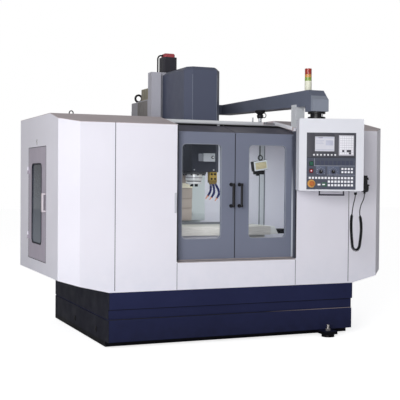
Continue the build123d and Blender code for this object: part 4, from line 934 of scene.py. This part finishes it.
panel_piece("panel_green_key_mark", key_white, "white_key", 2.4, (126, 147, 402, 411), edge=0.0006)

# Push buttons and rotary switches: moulded caps in turned collars, each with a pale mark, and
# dials with a pointer over a ring of dots.
panel_piece("start_field", paint("dark green field", (44, 72, 64)), "start_green", 0.5, (19, 54, 224, 262))
panel_piece("stop_field", paint("dark red field", (92, 52, 62)), "stop_red", 0.5, (19, 54, 282, 318))
dress(paint("green button", (38, 104, 76), rough=0.3), "start_button")
dress(paint("red button", (156, 44, 60), rough=0.3), "stop_button")
button_x, dial_down = 36, 306
collar = [(13.4, 0), (18, 0), (18, 3), (16.8, 4.2), (13.4, 4.2), (13.4, 0)]
mark = [(0, 11.8), (5.2, 11.8), (5.2, 12.6), (0, 12.6)]
collars = []
for down, body in ((243, "start_button"), (300, "stop_button")):
    collars.append(panel_ring("collar", button_x, down, collar))
    fit(panel_ring(body + "_mark", button_x, down, mark, 24), key_white, body)
joined("button_collars", collars, soft_black("collar plastic", (44, 50, 54)),
       "control_box")
dial_black = soft_black("black dial", (22, 22, 26), rough=0.4)
skirt_grey = paint("grey dial skirt", (92, 97, 116), mottle=0.05, rough=0.4)
skirt_profile = [(0, 0), (26.5, 0), (26.5, 2.8), (25, 4), (14, 4.6), (0, 4.6)]
knob_profile = [(0, 4), (15, 4), (15, 6), (12.5, 7.6), (11.8, 18.5), (10.5, 19.8), (0, 19.8)]
dot_profile = [(0, 0), (1.4, 0), (1.4, 0.6), (0, 0.6)]
dot_circle = 31
for x, body in ((113, "left_dial"), (211, "right_dial")):
    skirt = panel_ring(body + "_skirt", x, dial_down, skirt_profile, 48)
    fit(skirt, skirt_grey, body)
    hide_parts(body)
    knob = panel_ring(body + "_knob", x, dial_down, knob_profile, 40)
    fit(knob, dial_black, body)
    pointer = start_box(body + "_pointer", Vector((x - panel_left - 1, -95.6, 1341)) / 1000,
                        Vector((x - panel_left + 1, -94.6, 1349)) / 1000)
    fit(to_box(soften(pointer, 0.0003)), key_white, body)
    dots = []
    for step in range(9):
        angle = math.radians(-120 + 30 * step)
        across, up = dot_circle * math.sin(angle), dot_circle * math.cos(angle)
        dots.append(panel_ring("dot", x + across, dial_down - up, dot_profile, 10))
    joined(body + "_dots", dots, key_white, "control_box")
dress(paint("orange mushroom", (186, 106, 52), rough=0.3, coat=0.3), "stop_switch")
dress(paint("yellow disc", (206, 156, 84), rough=0.4), "stop_switch_disc")
dress(soft_black("black grab bar", (40, 38, 52), rough=0.4), "grab_bar")

# Hand unit: a black moulded box on the right side of the case, with a turned wheel and two
# selector knobs.
unit_black = soft_black("black hand unit", (18, 18, 22), rough=0.5)
dress(unit_black, "hand_unit", "hand_wheel", "axis_knob", "step_knob")

# Curled lead of the hand unit: a black sheathed lead, straight at both ends and wound into a
# tight helix between them. It hangs from the gland under the box and goes back up to the unit.
route = [
    (0.318, 1.176), (0.318, 1.138), (0.302, 1.085), (0.292, 1.005), (0.286, 0.957), (0.286, 0.900),
    (0.289, 0.840), (0.294, 0.790), (0.298, 0.742), (0.310, 0.722), (0.326, 0.716), (0.342, 0.722),
    (0.354, 0.742), (0.360, 0.790), (0.366, 0.845), (0.368, 0.897), (0.364, 0.948), (0.356, 0.996),
    (0.352, 1.020), (0.362, 1.080), (0.391, 1.130), (0.391, 1.168),
]
guide = smooth_line("lead_guide", [on_box(x, 0, z) for x, z in route])
trail = traced(guide)
bpy.data.objects.remove(guide)
run = [0.0]
for before, after in zip(trail, trail[1:]):
    run.append(run[-1] + (after - before).length)


def along(distance):
    """Point and direction on the trail at a distance from its start."""
    for index in range(len(run) - 1):
        if distance <= run[index + 1] or index == len(run) - 2:
            share = (distance - run[index]) / (run[index + 1] - run[index])
            step = trail[index + 1] - trail[index]
            return trail[index] + step * share, step.normalized()


def straight(distance, end):
    """Points on the trail, 20 mm apart, from one distance to another."""
    spots = []
    while distance < end:
        spots.append(along(distance)[0])
        distance += 0.020
    return spots


coil_from, coil_to, coil_growth = 0.172, run[-1] - 0.178, 0.018
winding, turn_points, coil_radius = 0.0092, 12, 0.0088
side_way = (on_box(0, 1, 0) - on_box(0, 0, 0)).normalized()
lead_points = straight(0.0, coil_from - 0.020)
distance = coil_from
while distance < coil_to:
    middle, ahead = along(distance)
    across = ahead.cross(side_way).normalized()
    grown = min(1.0, (distance - coil_from) / coil_growth, (coil_to - distance) / coil_growth)
    angle = 2 * math.pi * (distance - coil_from) / winding
    lead_points.append(middle + (side_way * math.cos(angle) + across * math.sin(angle)) * coil_radius * grown)
    distance += winding / turn_points
lead_points += straight(coil_to + 0.010, run[-1] - 0.012) + [trail[-1]]
lead = smooth_line("curled_lead", lead_points)
lead.data.resolution_u = 2
lead.data.bevel_resolution = 2
lead.data.materials.append(lead_black)
wire = traced(lead)
lead.data.bevel_depth = 0.004
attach(lead, "control_box")
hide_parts("lead_ends", "lead_coil")
gland = turned_piece("lead_gland_nut", [
    (4.5, 1158), (9, 1158), (12, 1163), (12, 1177.5), (4.5, 1177.5), (4.5, 1158)],
    (0.318, 0, 0), 24)
fit(to_box(gland), unit_black, "control_box")

# Stage: a pale floor that keeps the shadow, a white surround with its own light, one broad soft
# key light from the camera's side, and three small soft lights inside the chamber.
bpy.ops.mesh.primitive_plane_add(size=60, location=(0, 0, -0.0005))
floor = bpy.context.object
floor.name = "floor"
ground_look, tree, surface = new_look("pale floor")
tree.nodes.remove(surface)
matt = node_of(tree, "BsdfDiffuse", Color=(0.86, 0.86, 0.87, 1))
seen = node_of(tree, "LightPath").outputs["Is Camera Ray"]
glow = node_of(tree, "Emission", Color=(1, 1, 1, 1), Strength=maths(tree, "MULTIPLY", seen, 0.74))
both = node_of(tree, "AddShader", matt.outputs["BSDF"], glow.outputs["Emission"])
feed(tree, tree.nodes["Material Output"], Surface=both.outputs["Shader"])
floor.data.materials.append(ground_look)

world = bpy.data.worlds.new("white surround")
bpy.context.scene.world = world
world.use_nodes = True
tree = world.node_tree
ray = node_of(tree, "LightPath")
mirrored = node_of(tree, "MapRange", Value=ray.outputs["Is Glossy Ray"], To_Min=0.28, To_Max=0.45)
sight = maths(tree, "MAXIMUM", ray.outputs["Is Camera Ray"], mirrored.outputs["Result"])
feed(tree, tree.nodes["Background"], Color=(1, 1, 1, 1), Strength=sight)


def soft_light(name, place, target, size, power):
    """Round soft light at a place, turned to a target."""
    lamp = bpy.data.lights.new(name, "AREA")
    lamp.shape = "DISK"
    lamp.size = size
    lamp.energy = power
    made = bpy.data.objects.new(name, lamp)
    made.location = place
    made.rotation_euler = (target - place).to_track_quat("-Z", "Y").to_euler()
    made.visible_camera = False
    bpy.context.scene.collection.objects.link(made)
    return made


soft_light("key", at(-5600, -7000, 2300), at(0, 300, 1000), 6.0, 640)
for x in (-520, 520):
    inner = soft_light("chamber fill", at(x, 760, 1640), at(x, 800, 700), 0.7, 5.2)
    inner.visible_glossy = False
    inner.data.color = (0.93, 1.0, 0.97)
front_fill = soft_light("chamber front fill", at(60, 300, 1010), at(0, spindle_y, 1290), 0.4, 1.8)
front_fill.visible_glossy = False

# Camera at the photograph's place: a long lens in front of the left end, about as high as the
# spindle's nose, turned to the right, a little down, and rolled by half a degree.
lens_view = bpy.data.cameras.new("camera")
lens_view.sensor_width = 36
lens_view.lens = 81.88
lens_view.clip_end = 200
camera_turn, camera_dip, camera_roll = -22.83, 1.28, 0.46
camera = bpy.data.objects.new("camera", lens_view)
camera.matrix_world = (
    Matrix.Translation(at(-3040.8, -6447.0, 1268.5))
    @ Matrix.Rotation(math.radians(camera_turn), 4, "Z")
    @ Matrix.Rotation(math.radians(90 - camera_dip), 4, "X")
    @ Matrix.Rotation(math.radians(camera_roll), 4, "Z")
)
bpy.context.scene.collection.objects.link(camera)
bpy.context.scene.camera = camera
bpy.context.scene.view_settings.view_transform = "Standard"
